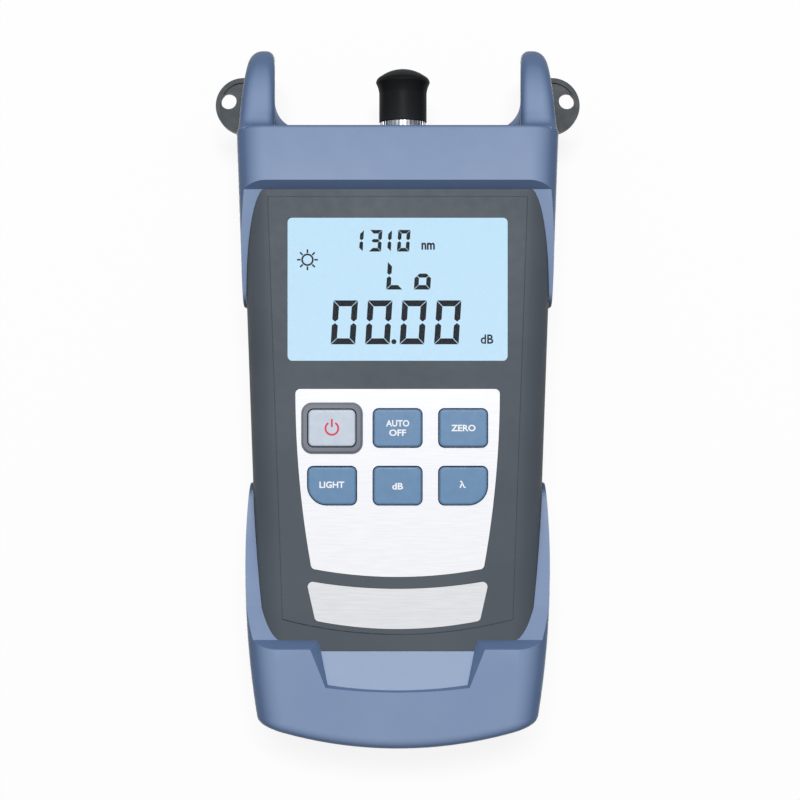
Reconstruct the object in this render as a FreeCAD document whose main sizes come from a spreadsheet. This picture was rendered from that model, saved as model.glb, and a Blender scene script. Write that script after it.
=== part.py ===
import FreeCAD, Part
import math
import os
import re
import Sketcher
from FreeCAD import Rotation, Vector

# A hand-held optical power meter, lying on its back.
# +X is to the right of the display, +Y runs towards the fibre port, +Z comes out of the display.
# The origin is under the middle of the meter, on the plane that it rests on. All lengths are in mm.

SIZES = [
    # the two-part case
    ("back_clear", 3.0, "rest plane to the back of the case"),
    ("case_depth", 42.0, "back to front of the case"),
    ("parting", 24.0, "height of the joint between the two covers"),
    ("case_top", 68.4, "centre to the top end of the case"),
    ("case_bottom", 91.0, "centre to the bottom end of the case"),
    ("case_top_half", 42.4, "half the case's width at its top end"),
    ("case_bottom_half", 37.0, "half the case's width at its bottom corners"),
    ("case_crown", 5.6, "how far the bottom end bows out"),
    ("case_corner", 10.0, "corner radius seen from the front"),
    ("case_edge", 7.0, "radius of the rolled front and back edges"),
    ("wall", 2.2, "wall of both covers"),
    ("seam", 0.4, "chamfer along the parting joint"),
    ("fit_gap", 0.1, "clearance between parts that are fitted together"),
    # the raised field on the front
    ("field_rise", 0.35, "height of the field above the rolled edge"),
    ("field_top", 52.6, "centre to the field's top edge"),
    ("field_bottom", 60.6, "centre to the field's bottom corners"),
    ("field_inset", 7.0, "field inside the case's sides"),
    ("field_crown", 4.0, "how far the field's bottom edge bows out"),
    ("field_soft", 0.3, "rounding of the field's edge"),
    # the two soft guards
    ("guard_proud", 3.0, "how far the guards stand in front of the case"),
    ("guard_edge", 8.0, "radius of the guards' long edges"),
    ("end_edge", 1.2, "rounding all round the top guard's end"),
    ("step_lean", 2.2, "lean of the guards' front step"),
    ("arm_soft", 5.0, "rounding of the arm tips seen from the side"),
    ("top_skin", 0.95, "how far the top guard stands out at the sides"),
    ("top_end_wall", 3.0, "end wall of the top guard"),
    ("top_step", 54.5, "centre to the top guard's front step"),
    ("top_tip", 23.5, "centre to the tips of the top guard's arms"),
    ("arm_fall", 6.0, "how far the arms' edges fall from the front face"),
    ("bottom_end", 95.0, "centre to the lowest point of the bottom guard"),
    ("bottom_corner_y", 88.6, "centre to the bottom guard's corners"),
    ("bottom_corner_half", 37.7, "half the bottom guard's width at its corners"),
    ("bottom_tip_half", 39.8, "half the bottom guard's width at its tips"),
    ("bottom_bulge", 245.0, "radius of the bottom guard's bowed sides"),
    ("bottom_corner", 3.0, "rounding all round the bottom guard's end"),
    ("bottom_step", 66.0, "centre to the bottom guard's front step"),
    ("bottom_bend", 57.5, "centre to the bend in the bottom guard's arm"),
    ("bottom_bend_fall", 2.6, "fall of the arm's edge at that bend"),
    ("bottom_tip", 24.5, "centre to the tips of the bottom guard's arms"),
    # the ramp in the bottom guard
    ("ramp_top_half", 22.1, "half the ramp's width at its top"),
    ("ramp_bottom_half", 19.5, "half the ramp's width at its foot"),
    ("ramp_foot", 76.0, "centre to the ramp's foot corners"),
    ("ramp_start", 3.0, "from the bottom guard's step down to the start of the ramp"),
    ("ramp_bow", 1.0, "how far the ramp's foot bows out at the middle"),
    ("ramp_lip", 0.4, "step at the ramp's foot"),
    ("ramp_flare", 2.2, "how much narrower the ramp is on the case's face"),
    ("ramp_lean", 41.0, "lean of the ramp's side walls, in degrees"),
    # the horns
    ("horn_tip", 95.0, "centre to the tips of the horns"),
    ("horn_tip_half", 40.6, "centre plane to the horn's outer side at its tip"),
    ("horn_inner", 33.0, "centre plane to the front of the horn's inner side"),
    ("horn_draft", 2.4, "how far that side leans outwards towards the back"),
    ("horn_flare", 7.5, "radius of the flare at the foot of the horn's inner side"),
    ("horn_outer_round", 3.8, "rounding of the horn's outer rim"),
    ("horn_inner_round", 2.4, "rounding of the horn's inner rim"),
    ("horn_depth", 36.0, "front to back of the horns, and the width of their arch"),
    ("horn_cove", 3.6, "cove between the guard's end and the horn's front"),
    # strap lugs
    ("lug_x", 42.8, "centre plane to the middle of the lug's disc"),
    ("lug_y", 79.8, "centre to the middle of the lug's disc"),
    ("eye_x", 47.0, "centre plane to the middle of the eye"),
    ("eye_y", 81.2, "centre to the middle of the eye"),
    ("lug_eye", 2.2, "radius of the eye"),
    ("lug_thick", 2.6, "thickness of the lug"),
    ("lug_rim", 1.3, "width of the lug's raised rim"),
    ("lug_rim_rise", 0.7, "rise of the rim on each side"),
    ("lug_radius", 7.7, "radius of the lug's disc"),
    ("lug_foot", 5.8, "how far the disc goes on inwards of its middle"),
    # display
    ("window_width", 58.8, "width of the window"),
    ("window_height", 38.1, "height of the window"),
    ("window_y", 27.8, "centre of the window"),
    ("window_corner", 1.2, "corner radius of the window"),
    ("window_sunk", 0.25, "window below the field"),
    ("window_flange", 1.8, "flange of the window behind the cover"),
    ("window_flange_thick", 1.0, "thickness of that flange"),
    ("lcd_thick", 2.6, "thickness of the liquid-crystal cell"),
    ("backlight_thick", 3.0, "thickness of the light guide"),
    ("lcd_frame_wall", 1.2, "wall of the display frame"),
    ("strip_width", 2.0, "width of the contact strips under the cell"),
    # key field
    ("panel_thick", 0.5, "thickness of the key panel and the name plate"),
    ("panel_recess", 0.3, "recess that the panels are glued into"),
    ("panel_top", 1.1, "centre to the key panel's top edge"),
    ("panel_top_half", 27.3, "half the key panel's width at the top"),
    ("panel_bottom_half", 23.0, "half the key panel's width at the bottom"),
    ("panel_bottom", 46.9, "centre to the key panel's bottom corners"),
    ("panel_crown", 2.2, "how far the key panel's bottom edge bows out"),
    ("panel_side", 270.0, "radius of the key panel's sides"),
    ("panel_corner", 1.3, "corner radius of the panels"),
    ("plate_gap", 3.2, "grey strip between the key panel and the name plate"),
    ("plate_height", 10.7, "height of the name plate at its ends"),
    ("plate_top_half", 24.4, "half the name plate's width at the top"),
    ("plate_bottom_half", 22.0, "half the name plate's width at the bottom"),
    ("key_pitch_x", 17.5, "spacing of the keys across"),
    ("key_row_1", 9.3, "centre to the upper row of keys"),
    ("key_row_2", 24.7, "centre to the lower row of keys"),
    ("key_width", 12.8, "width of a key"),
    ("key_height", 10.0, "height of a key"),
    ("power_less", 0.2, "how much smaller the power key is"),
    ("key_corner", 1.4, "corner radius of a key"),
    ("key_swept", 5.0, "radius of the swept corner of the outer lower keys"),
    ("key_proud", 1.9, "key above the field"),
    ("key_soft", 0.5, "rounding round the top of a key"),
    ("key_gap", 0.3, "clearance round a key"),
    ("key_flange", 0.9, "flange that keeps a key in"),
    ("key_flange_thick", 1.2, "thickness of that flange"),
    ("key_seat", 0.15, "clearance over a key's flange"),
    ("key_stem", 3.0, "radius of a key's stem"),
    ("key_stem_long", 2.2, "length of a key's stem"),
    ("bezel_wall", 1.5, "width of the rim round the power key"),
    ("bezel_step", 0.4, "rim over its skirt"),
    ("bezel_proud", 1.5, "rim above the field"),
    ("bezel_soft", 0.6, "chamfer of the rim"),
    # circuit board and what stands on it
    ("board_thick", 1.6, "thickness of the main board"),
    ("board_deep", 7.2, "front cover's inside to the board"),
    ("board_half", 32.5, "half the main board's width"),
    ("board_top", 50.5, "centre to the board's top edge"),
    ("board_bottom", 52.0, "centre to the board's bottom edge"),
    ("board_post_x", 29.4, "centre plane to the board's posts"),
    ("board_post_top", 2.8, "centre to the upper posts"),
    ("board_post_bottom", 48.5, "centre to the lower posts"),
    ("board_post", 2.4, "radius of the board's posts"),
    ("board_screw", 0.95, "radius of the board screws"),
    ("board_screw_head", 1.9, "radius of the board screws' heads"),
    ("board_screw_long", 6.0, "length of the board screws"),
    ("mat_edge", 2.0, "mat beyond the keys"),
    ("mat_thick", 1.2, "thickness of the rubber key mat"),
    ("dome_foot", 4.4, "radius of a dome's foot"),
    ("dome_air", 0.05, "clearance between a dome and its key"),
    ("chip_side", 10.0, "side of the largest chip"),
    ("chip_thick", 1.4, "thickness of the chips"),
    # case screws
    ("post_x", 36.2, "centre plane to the case posts at the top"),
    ("post_top", 47.5, "centre to the upper case posts"),
    ("post_low_x", 30.6, "centre plane to the lower case posts"),
    ("post_low", 60.5, "centre to the lower case posts"),
    ("post", 3.6, "radius of the case posts"),
    ("case_screw", 1.5, "radius of the case screws"),
    ("case_screw_head", 2.9, "radius of the case screws' heads"),
    ("case_screw_head_thick", 2.2, "height of the case screws' heads"),
    ("case_screw_sunk", 3.0, "case screw heads below the back"),
    ("case_screw_long", 26.0, "length of the case screws"),
    ("screw_gap", 0.15, "clearance round a screw"),
    # batteries
    ("cell_radius", 7.15, "radius of a cell"),
    ("cell_long", 49.2, "length of a cell without its button"),
    ("cell_button", 2.6, "radius of the cell's button"),
    ("cell_button_long", 1.1, "length of the cell's button"),
    ("cell_pitch", 14.9, "spacing of the cells"),
    ("cell_middle", 25.0, "centre to the middle of the cells"),
    ("bay_side", 0.5, "clearance beside the cells"),
    ("bay_wall", 1.5, "wall of the battery bay"),
    ("contact_thick", 0.5, "thickness of the contact plates"),
    ("spring_long", 4.2, "length of the contact springs"),
    ("spring_turns", 2.5, "turns of a contact spring"),
    ("spring_wire", 0.35, "radius of the spring wire"),
    ("spring_radius", 3.0, "radius of the contact springs"),
    ("door_thick", 1.8, "thickness of the battery door"),
    ("door_gap", 0.3, "clearance round the battery door"),
    ("door_ledge", 1.6, "ledge that the battery door closes on"),
    ("door_corner", 3.0, "corner radius of the battery door"),
    ("hinge_pin", 0.6, "radius of the door's hinge stubs"),
    ("hinge_stub", 1.2, "length of the door's hinge stubs"),
    ("grip_width", 18.0, "width of the grip grooves in the battery door"),
    ("grip_deep", 0.6, "depth of a grip groove"),
    ("grip_pitch", 2.4, "spacing of the grip grooves"),
    ("grip_groove", 1.2, "width of a grip groove"),
    ("tongue_width", 8.0, "width of the battery door's tongue"),
    ("tongue_thick", 0.9, "thickness of that tongue"),
    ("tongue_tall", 1.6, "height of that tongue"),
    # fibre port
    ("port_z", 24.0, "rest plane to the port's axis"),
    ("port_x", 1.45, "centre plane to the port's axis"),
    ("tube_radius", 5.0, "radius of the detector tube"),
    ("tube_nose", 73.3, "centre to the end of the detector tube"),
    ("tube_flange", 9.0, "radius of the detector tube's flange"),
    ("tube_flange_thick", 2.0, "thickness of that flange"),
    ("tube_tail", 4.0, "tube behind its flange"),
    ("tube_bore", 2.8, "radius of the tube's bore"),
    ("port_gap", 0.4, "clearance round the adapter ring"),
    ("port_nut_thick", 2.0, "thickness of the nut that holds the tube"),
    ("ring_radius", 6.3, "radius of the adapter ring"),
    ("ring_top", 75.3, "centre to the adapter ring's outer end"),
    ("ring_long", 4.2, "length of the adapter ring"),
    ("ring_lip", 0.8, "lip that holds the adapter"),
    ("ring_lugs", 36, "number of knurls"),
    ("knurl_deep", 0.25, "depth of a knurl"),
    ("adapter_flange", 5.3, "radius of the adapter's flange"),
    ("adapter_flange_thick", 1.1, "thickness of the adapter's flange"),
    ("adapter_radius", 4.0, "radius of the adapter's barrel"),
    ("adapter_long", 9.4, "barrel in front of the ring"),
    ("adapter_keyway", 2.2, "width of the keyway in the barrel"),
    ("adapter_keyway_deep", 4.0, "depth of the keyway from the barrel's end"),
    ("sleeve_radius", 1.6, "radius of the ceramic sleeve"),
    ("ferrule_bore", 1.25, "radius of the ferrule bore"),
    ("sleeve_short", 0.5, "sleeve below the barrel's end"),
    ("turn_gap", 0.05, "radial clearance of turning metal parts"),
    ("adapter_socket", 2.9, "radius of the recess round the ceramic sleeve"),
    ("adapter_socket_deep", 6.0, "depth of that recess"),
    ("can_front", 0.6, "photodiode can below the end of the tube"),
    ("can_radius", 2.7, "radius of the photodiode can"),
    ("can_long", 3.6, "length of the photodiode can"),
    ("lead_radius", 0.25, "radius of the photodiode's leads"),
    ("lead_pitch", 1.27, "radius of the photodiode's lead circle"),
    ("sensor_board", 14.0, "side of the detector board"),
    ("sensor_board_thick", 1.2, "thickness of the detector board"),
    # dust cap
    ("cap_skirt", 6.6, "radius of the dust cap's skirt"),
    ("cap_bulge", 7.5, "radius of the dust cap's head"),
    ("cap_foot", 75.5, "centre to the dust cap's open end"),
    ("cap_neck", 83.4, "centre to where the head flares out"),
    ("cap_widest", 86.4, "centre to the head's widest point"),
    ("cap_shoulder", 6.3, "radius where the head's lip ends and its dome begins"),
    ("cap_crown", 88.1, "centre to where the head's dome begins"),
    ("cap_lip", 2.0, "radius of the lip round the head"),
    ("cap_tip", 90.2, "centre to the dust cap's tip"),
    ("cap_roof", 3.2, "thickness of the dust cap over the barrel"),
    ("cap_flare", 8.0, "radius of the flare below the cap's head"),
]

doc = FreeCAD.newDocument("power_meter")
sheet = doc.addObject("Spreadsheet::Sheet", "dim")
for row, (alias, value, meaning) in enumerate(SIZES, start=1):
    sheet.set(f"A{row}", alias)
    sheet.set(f"B{row}", str(value))
    sheet.set(f"C{row}", meaning)
    sheet.setAlias(f"B{row}", alias)
doc.recompute()

NODES = []
TOUCH = 1e-4
NAMES = re.compile(r"\b(" + "|".join(alias for alias, _, _ in SIZES) + r")\b")


def tied(text):
    """An expression of size names, written the way the document's expressions are."""
    return NAMES.sub(r"dim.\1", text)


def bind(item, place, text):
    """Binds a property to an expression of size names."""
    item.setExpression(place, tied(text))


def number(text):
    """The value of an expression of size names."""
    return float(sheet.evalExpression(tied(text)))


def node(thing, label):
    """Marks an object of the document as a finished sub-part."""
    thing.Label = label
    NODES.append(thing)
    return thing


def new_body(name):
    """An empty PartDesign body."""
    return doc.addObject("PartDesign::Body", name)


def sketch_on(body, role, height="0"):
    """A sketch on one of the body's origin planes, moved along the plane's normal."""
    sketch = body.newObject("Sketcher::SketchObject", body.Name + "_sketch")
    plane = [f for f in body.Origin.OriginFeatures if f.Role == role][0]
    sketch.AttachmentSupport = [(plane, "")]
    sketch.MapMode = "FlatFace"
    bind(sketch, "AttachmentOffset.Base.z", height)
    return sketch


def closed_outline(sketch, corners, arcs=None):
    """Draws a closed outline, its corners anticlockwise. arcs gives the radius of each side
    that is an arc: a plain radius bows outwards, and one with a minus sign bows inwards."""
    arcs = arcs or {}
    first = sketch.GeometryCount
    points = [Vector(number(x), number(y), 0) for x, y in corners]
    count = len(points)
    for i, start in enumerate(points):
        end = points[(i + 1) % count]
        if i not in arcs:
            sketch.addGeometry(Part.LineSegment(start, end), False)
            continue
        inwards = arcs[i].startswith("-")
        radius = number(arcs[i].lstrip("-"))
        chord = end - start
        side = Vector(-chord.y, chord.x, 0).normalize() * (-1 if inwards else 1)
        reach = math.sqrt(max(radius**2 - (chord.Length / 2) ** 2, 0))
        centre = (start + end) * 0.5 + side * reach
        angles = [math.atan2(p.y - centre.y, p.x - centre.x) for p in (start, end)]
        if inwards:
            angles.reverse()
        circle = Part.Circle(centre, Vector(0, 0, 1), radius)
        sketch.addGeometry(Part.ArcOfCircle(circle, *angles), False)

    def ends(i):
        return (2, 1) if i in arcs and arcs[i].startswith("-") else (1, 2)

    for i in range(count):
        after = (i + 1) % count
        joint = Sketcher.Constraint("Coincident", first + i, ends(i)[1], first + after, ends(after)[0])
        sketch.addConstraint(joint)
    for i, (x, y) in enumerate(corners):
        for kind, text in (("DistanceX", x), ("DistanceY", y)):
            hold = Sketcher.Constraint(kind, -1, 1, first + i, ends(i)[0], number(text))
            index = sketch.addConstraint(hold)
            bind(sketch, f"Constraints[{index}]", text)
    for i, text in arcs.items():
        text = text.lstrip("-")
        index = sketch.addConstraint(Sketcher.Constraint("Radius", first + i, number(text)))
        bind(sketch, f"Constraints[{index}]", text)


def block_corners(x, y, width, height):
    """The four corners of a rectangle about a centre."""
    left, right = f"{x} - ({width}) / 2", f"{x} + ({width}) / 2"
    low, high = f"{y} - ({height}) / 2", f"{y} + ({height}) / 2"
    return [(left, low), (right, low), (right, high), (left, high)]


def block_outline(sketch, x, y, width, height):
    """A rectangle about a centre."""
    closed_outline(sketch, block_corners(x, y, width, height))


def circle_at(sketch, x, y, radius):
    """A circle, its centre and radius held by expressions."""
    place = Vector(number(x), number(y), 0)
    item = sketch.addGeometry(Part.Circle(place, Vector(0, 0, 1), number(radius)), False)
    for kind, text in (("DistanceX", x), ("DistanceY", y)):
        hold = Sketcher.Constraint(kind, -1, 1, item, 3, number(text))
        index = sketch.addConstraint(hold)
        bind(sketch, f"Constraints[{index}]", text)
    index = sketch.addConstraint(Sketcher.Constraint("Radius", item, number(radius)))
    bind(sketch, f"Constraints[{index}]", radius)


def grow(body, kind, sketch, length, backwards=False, both_ways=False):
    """A Pad or a Pocket of that length."""
    feature = body.newObject("PartDesign::" + kind, body.Name + "_" + kind.lower())
    feature.Profile = sketch
    bind(feature, "Length", length)
    feature.Reversed = backwards
    feature.Midplane = both_ways
    sketch.Visibility = False
    doc.recompute()
    return feature


def pad(body, sketch, length, **ways):
    return grow(body, "Pad", sketch, length, **ways)


def pocket(body, sketch, length, **ways):
    """A pocket, which has to take something away."""
    before = body.Shape.Volume
    feature = grow(body, "Pocket", sketch, length, **ways)
    if body.Shape.Volume > before - TOUCH:
        raise RuntimeError(f"a pocket in {body.Name} cuts nothing")
    return feature


def dress(body, kind, size_name, size, chosen):
    """A Fillet or a Chamfer on the chosen edges of the body's last feature."""
    base = body.Tip
    names = [f"Edge{i}" for i, e in enumerate(base.Shape.Edges, start=1) if chosen(e)]
    if not names:
        raise RuntimeError(f"no edge of {body.Name} was chosen")
    feature = body.newObject("PartDesign::" + kind, body.Name + "_" + kind.lower())
    feature.Base = (base, names)
    bind(feature, size_name, size)
    doc.recompute()
    return feature


def round_off(body, radius, chosen):
    return dress(body, "Fillet", "Radius", radius, chosen)


def bevel(body, size, chosen):
    return dress(body, "Chamfer", "Size", size, chosen)


def along(axis, *places):
    """Chooses straight edges along an axis ("X", "Y" or "Z"). With places, each a pair of
    expressions for the other two coordinates, only the edges that stand there."""
    others = [k for k in (0, 1, 2) if k != "XYZ".index(axis)]
    points = [tuple(number(t) for t in place) for place in places]

    def chosen(edge):
        box = edge.BoundBox
        low, high = (box.XMin, box.YMin, box.ZMin), (box.XMax, box.YMax, box.ZMax)
        if any(high[k] - low[k] > 0.01 for k in others):
            return False
        here = [low[k] for k in others]
        return not points or any(math.dist(here, p) < 0.02 for p in points)

    return chosen


def level(height):
    """Chooses the edges that lie at one height."""
    z = number(height)
    return lambda e: abs(e.BoundBox.ZMin - z) < 0.001 and abs(e.BoundBox.ZMax - z) < 0.001


def combine(kind, name, base, tool):
    """A Part::Cut or Part::Common of two objects."""
    feature = doc.addObject("Part::" + kind, name)
    feature.Base = base
    feature.Tool = tool
    base.Visibility = False
    tool.Visibility = False
    doc.recompute()
    return feature


def cut(name, base, *tools):
    """The base with each tool taken away in turn."""
    for tool in tools:
        base = combine("Cut", name, base, tool)
    return base


def fuse(name, *things):
    """One shape made of several."""
    feature = doc.addObject("Part::MultiFuse", name)
    feature.Shapes = list(things)
    feature.Refine = True
    doc.recompute()
    return feature


def rod(name, x, y, z, radius, length, direction="Z"):
    """A Part cylinder that starts at a point and runs along an axis."""
    item = doc.addObject("Part::Cylinder", name)
    bind(item, "Radius", radius)
    bind(item, "Height", length)
    turns = {"Z": Rotation(), "Y": Rotation(Vector(1, 0, 0), -90)}
    turns["X"] = Rotation(Vector(0, 1, 0), 90)
    item.Placement.Rotation = turns[direction]
    for axis, text in zip("xyz", (x, y, z)):
        bind(item, "Placement.Base." + axis, text)
    return item


def brick(name, x, y, z, width, height, thick):
    """A Part box about a centre in X and Y, standing on the height z."""
    item = doc.addObject("Part::Box", name)
    bind(item, "Length", width)
    bind(item, "Width", height)
    bind(item, "Height", thick)
    bind(item, "Placement.Base.x", f"{x} - ({width}) / 2")
    bind(item, "Placement.Base.y", f"{y} - ({height}) / 2")
    bind(item, "Placement.Base.z", z)
    return item


def bow(half, rise):
    """The radius of an arc from its half chord and its rise."""
    return f"(({half})^2 + ({rise})^2) / (2 * ({rise}))"


# Heights and lengths that several parts share.
BACK = "back_clear"
FRONT = "(back_clear + case_depth)"
FIELD = "(back_clear + case_depth + field_rise)"
INSIDE = "(back_clear + case_depth - wall)"
GUARD_TOP = "(back_clear + case_depth + guard_proud)"
GUARD_LOW = "(back_clear - guard_proud)"
MIDDLE = "(back_clear + case_depth / 2)"
GUARD_END = "(case_top + top_end_wall)"
CORNER_Y = "(case_bottom - case_crown)"
PAST = 2


def side(y):
    """Half the case's width at a place along it."""
    share = f"(({y}) + {CORNER_Y}) / (case_top + {CORNER_Y})"
    return f"(case_bottom_half + (case_top_half - case_bottom_half) * {share})"


def case_corners(inset):
    """The four corners of the case seen from the front, drawn in by an inset."""
    top, low = f"(case_top - ({inset}))", f"({CORNER_Y} - ({inset}))"
    corner, crest = f"({side('-' + low)} - ({inset}))", f"({side(top)} - ({inset}))"
    return [(f"-{corner}", f"-{low}"), (corner, f"-{low}"), (crest, top), (f"-{crest}", top)]


def case_outline(sketch, inset):
    """The case seen from the front: straight sides and top, and a bowed bottom end."""
    corners = case_corners(inset)
    closed_outline(sketch, corners, {0: bow(corners[1][0], "case_crown")})


def case_body(name, low, high, inset):
    """A solid of the case's outline between two heights, with round corners."""
    body = new_body(name)
    sketch = sketch_on(body, "XY_Plane", low)
    case_outline(sketch, inset)
    pad(body, sketch, f"{high} - {low}")
    round_off(body, f"case_corner - ({inset})", along("Z", *case_corners(inset)))
    return body


def hollow(name, low, high, rolled):
    """The space inside a cover, with the wall's thickness left round it. What stands inside the
    cover is taken out of this space, and then the space is cut out of the cover."""
    body = case_body(name, low, high, "wall")
    round_off(body, "case_edge - wall", level(rolled))
    return body


def bores(body, places, radius, start, depth, upwards=False):
    """Cuts round holes from one height."""
    sketch = sketch_on(body, "XY_Plane", start)
    for x, y in places:
        circle_at(sketch, x, y, radius)
    pocket(body, sketch, depth, backwards=upwards)


def both_sides(x, y):
    """A place and its mirror image."""
    return [(x, y), (f"-{x}", y)]


RIM_WIDE = "(key_width + 2 * key_gap + 2 * bezel_wall)"
RIM_HIGH = "(key_height + 2 * key_gap + 2 * bezel_wall)"
CASE_POSTS = both_sides("post_x", "post_top") + both_sides("post_low_x", "-post_low")
BOARD_POSTS = both_sides("board_post_x", "board_post_top")
BOARD_POSTS += both_sides("board_post_x", "-board_post_bottom")
BOARD_UP = f"({INSIDE} - board_deep)"
SCREW_START = f"({BACK} + case_screw_sunk)"
SCREW_END = f"({SCREW_START} + case_screw_long)"
BAY_WIDE = "(2 * cell_pitch + 2 * cell_radius + 2 * bay_side)"
BAY_LONG = "(cell_long + cell_button_long + spring_long + 2 * contact_thick)"
BAY_FLOOR = f"({BACK} + door_thick + door_gap)"
BAY_TOP = f"({BAY_FLOOR} + 2 * cell_radius + door_gap)"
DOOR_WIDE = f"({BAY_WIDE} + 2 * door_ledge)"
DOOR_LONG = f"({BAY_LONG} + 2 * door_ledge)"
HINGE_Y = f"(-cell_middle - {DOOR_LONG} / 2 + door_thick / 2)"
HINGE_Z = f"({BACK} + door_thick / 2)"
SKIRT_CORNER = "(key_corner + bezel_wall - bezel_step)"
KEYS = {
    "power_key": ("-key_pitch_x", "-key_row_1"),
    "auto_off_key": ("0", "-key_row_1"),
    "zero_key": ("key_pitch_x", "-key_row_1"),
    "light_key": ("-key_pitch_x", "-key_row_2"),
    "db_key": ("0", "-key_row_2"),
    "wavelength_key": ("key_pitch_x", "-key_row_2"),
}
# The outer keys of the lower row have one swept corner, counted as block_corners does.
SWEPT = {"light_key": 0, "wavelength_key": 1}


def key_size(name):
    """Width and height of a key. The power key stands inside a rim and is a little smaller."""
    slack = "power_less" if name == "power_key" else "0"
    return f"(key_width - {slack})", f"(key_height - {slack})"


def key_window(name):
    """The hole for a key, or for the power key's rim: its corners."""
    x, y = KEYS[name]
    if name == "power_key":
        return block_corners(x, y, f"{RIM_WIDE} - 2 * bezel_step + 2 * fit_gap",
                             f"{RIM_HIGH} - 2 * bezel_step + 2 * fit_gap")
    wide, high = key_size(name)
    return block_corners(x, y, f"{wide} + 2 * key_gap", f"{high} + 2 * key_gap")


def cut_key_windows(body, start, depth):
    """Cuts the six key windows with their round corners."""
    sketch = sketch_on(body, "XY_Plane", start)
    for name in KEYS:
        closed_outline(sketch, key_window(name))
    pocket(body, sketch, depth)
    swept = [key_window(name)[corner] for name, corner in SWEPT.items()]
    others = [c for name in KEYS if name != "power_key" for c in key_window(name)]
    plain = [c for c in others if c not in swept]
    round_off(body, "key_corner + key_gap", along("Z", *plain))
    round_off(body, "key_swept + key_gap", along("Z", *swept))
    round_off(body, f"{SKIRT_CORNER} + fit_gap", along("Z", *key_window("power_key")))


def panel_outline(sketch, inset):
    """The key panel seen from the front: bowed sides that draw in towards the bottom.
    Gives its corners back."""
    top, low = f"(panel_top - ({inset}))", f"(panel_bottom - ({inset}))"
    wide, narrow = f"(panel_top_half - ({inset}))", f"(panel_bottom_half - ({inset}))"
    points = [(f"-{narrow}", f"-{low}"), (narrow, f"-{low}"), (wide, top), (f"-{wide}", top)]
    arcs = {0: bow(narrow, "panel_crown"), 1: "panel_side", 3: "panel_side"}
    closed_outline(sketch, points, arcs)
    return points


def plate_outline(sketch, inset):
    """The name plate: a strip whose long sides follow the key panel's bottom edge.
    Gives its corners back."""
    start = "(panel_bottom + plate_gap)"
    top, low = f"({start} + ({inset}))", f"({start} + plate_height - ({inset}))"
    wide, narrow = f"(plate_top_half - ({inset}))", f"(plate_bottom_half - ({inset}))"
    points = [(f"-{narrow}", f"-{low}"), (narrow, f"-{low}")]
    points += [(wide, f"-{top}"), (f"-{wide}", f"-{top}")]
    arcs = {0: bow(narrow, "panel_crown"), 2: "-" + bow(wide, "panel_crown")}
    closed_outline(sketch, points, arcs)
    return points


def port_notch(name):
    """The hole for the detector tube in the case's end wall, which the parting joint halves."""
    return rod(name, "port_x", "case_top - wall - 1", "port_z", "tube_radius + fit_gap", "wall + 2", "Y")


def make_front_cover():
    form = case_body("front_cover_form", "parting", FRONT, "0")
    round_off(form, "case_edge", level(FRONT))
    bevel(form, "seam", level("parting"))
    sketch = sketch_on(form, "XY_Plane", f"{FRONT} - field_rise")
    half_top = f"({side('field_top')} - field_inset)"
    half_low = f"({side('-field_bottom')} - field_inset)"
    points = [(f"-{half_low}", "-field_bottom"), (half_low, "-field_bottom")]
    points += [(half_top, "field_top"), (f"-{half_top}", "field_top")]
    closed_outline(sketch, points, {0: bow(half_low, "field_crown")})
    pad(form, sketch, "2 * field_rise")
    round_off(form, "field_soft", level(FIELD))
    for outline in (panel_outline, plate_outline):
        sketch = sketch_on(form, "XY_Plane", FIELD)
        corners = outline(sketch, "-fit_gap")
        pocket(form, sketch, "panel_recess")
        round_off(form, "panel_corner + fit_gap", along("Z", *corners))
    pane = block_corners("0", "window_y", "window_width + 2 * fit_gap", "window_height + 2 * fit_gap")
    sketch = sketch_on(form, "XY_Plane", FIELD)
    closed_outline(sketch, pane)
    pocket(form, sketch, f"{FIELD} - {INSIDE} + {PAST}")
    round_off(form, "window_corner + fit_gap", along("Z", *pane))
    cut_key_windows(form, FIELD, f"{FIELD} - {INSIDE} + {PAST}")
    space = hollow("front_cover_space", f"(parting - {PAST})", INSIDE, INSIDE)
    bores(space, BOARD_POSTS, "board_post", BOARD_UP, f"{INSIDE} - {BOARD_UP} + {PAST}", upwards=True)
    bores(space, CASE_POSTS, "post", f"parting - 2 * {PAST}", "case_depth", upwards=True)
    pilots = [rod("board_pilot", x, y, f"{BOARD_UP} - 1", "board_screw", "board_screw_long + 1")
              for x, y in BOARD_POSTS]
    pilots += [rod("case_pilot", x, y, "parting - 1", "case_screw", f"{SCREW_END} - parting + 1")
               for x, y in CASE_POSTS]
    notch = port_notch("front_port_notch")
    node(cut("front_cover_cut", form, space, notch, *pilots), "front_cover")


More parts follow.
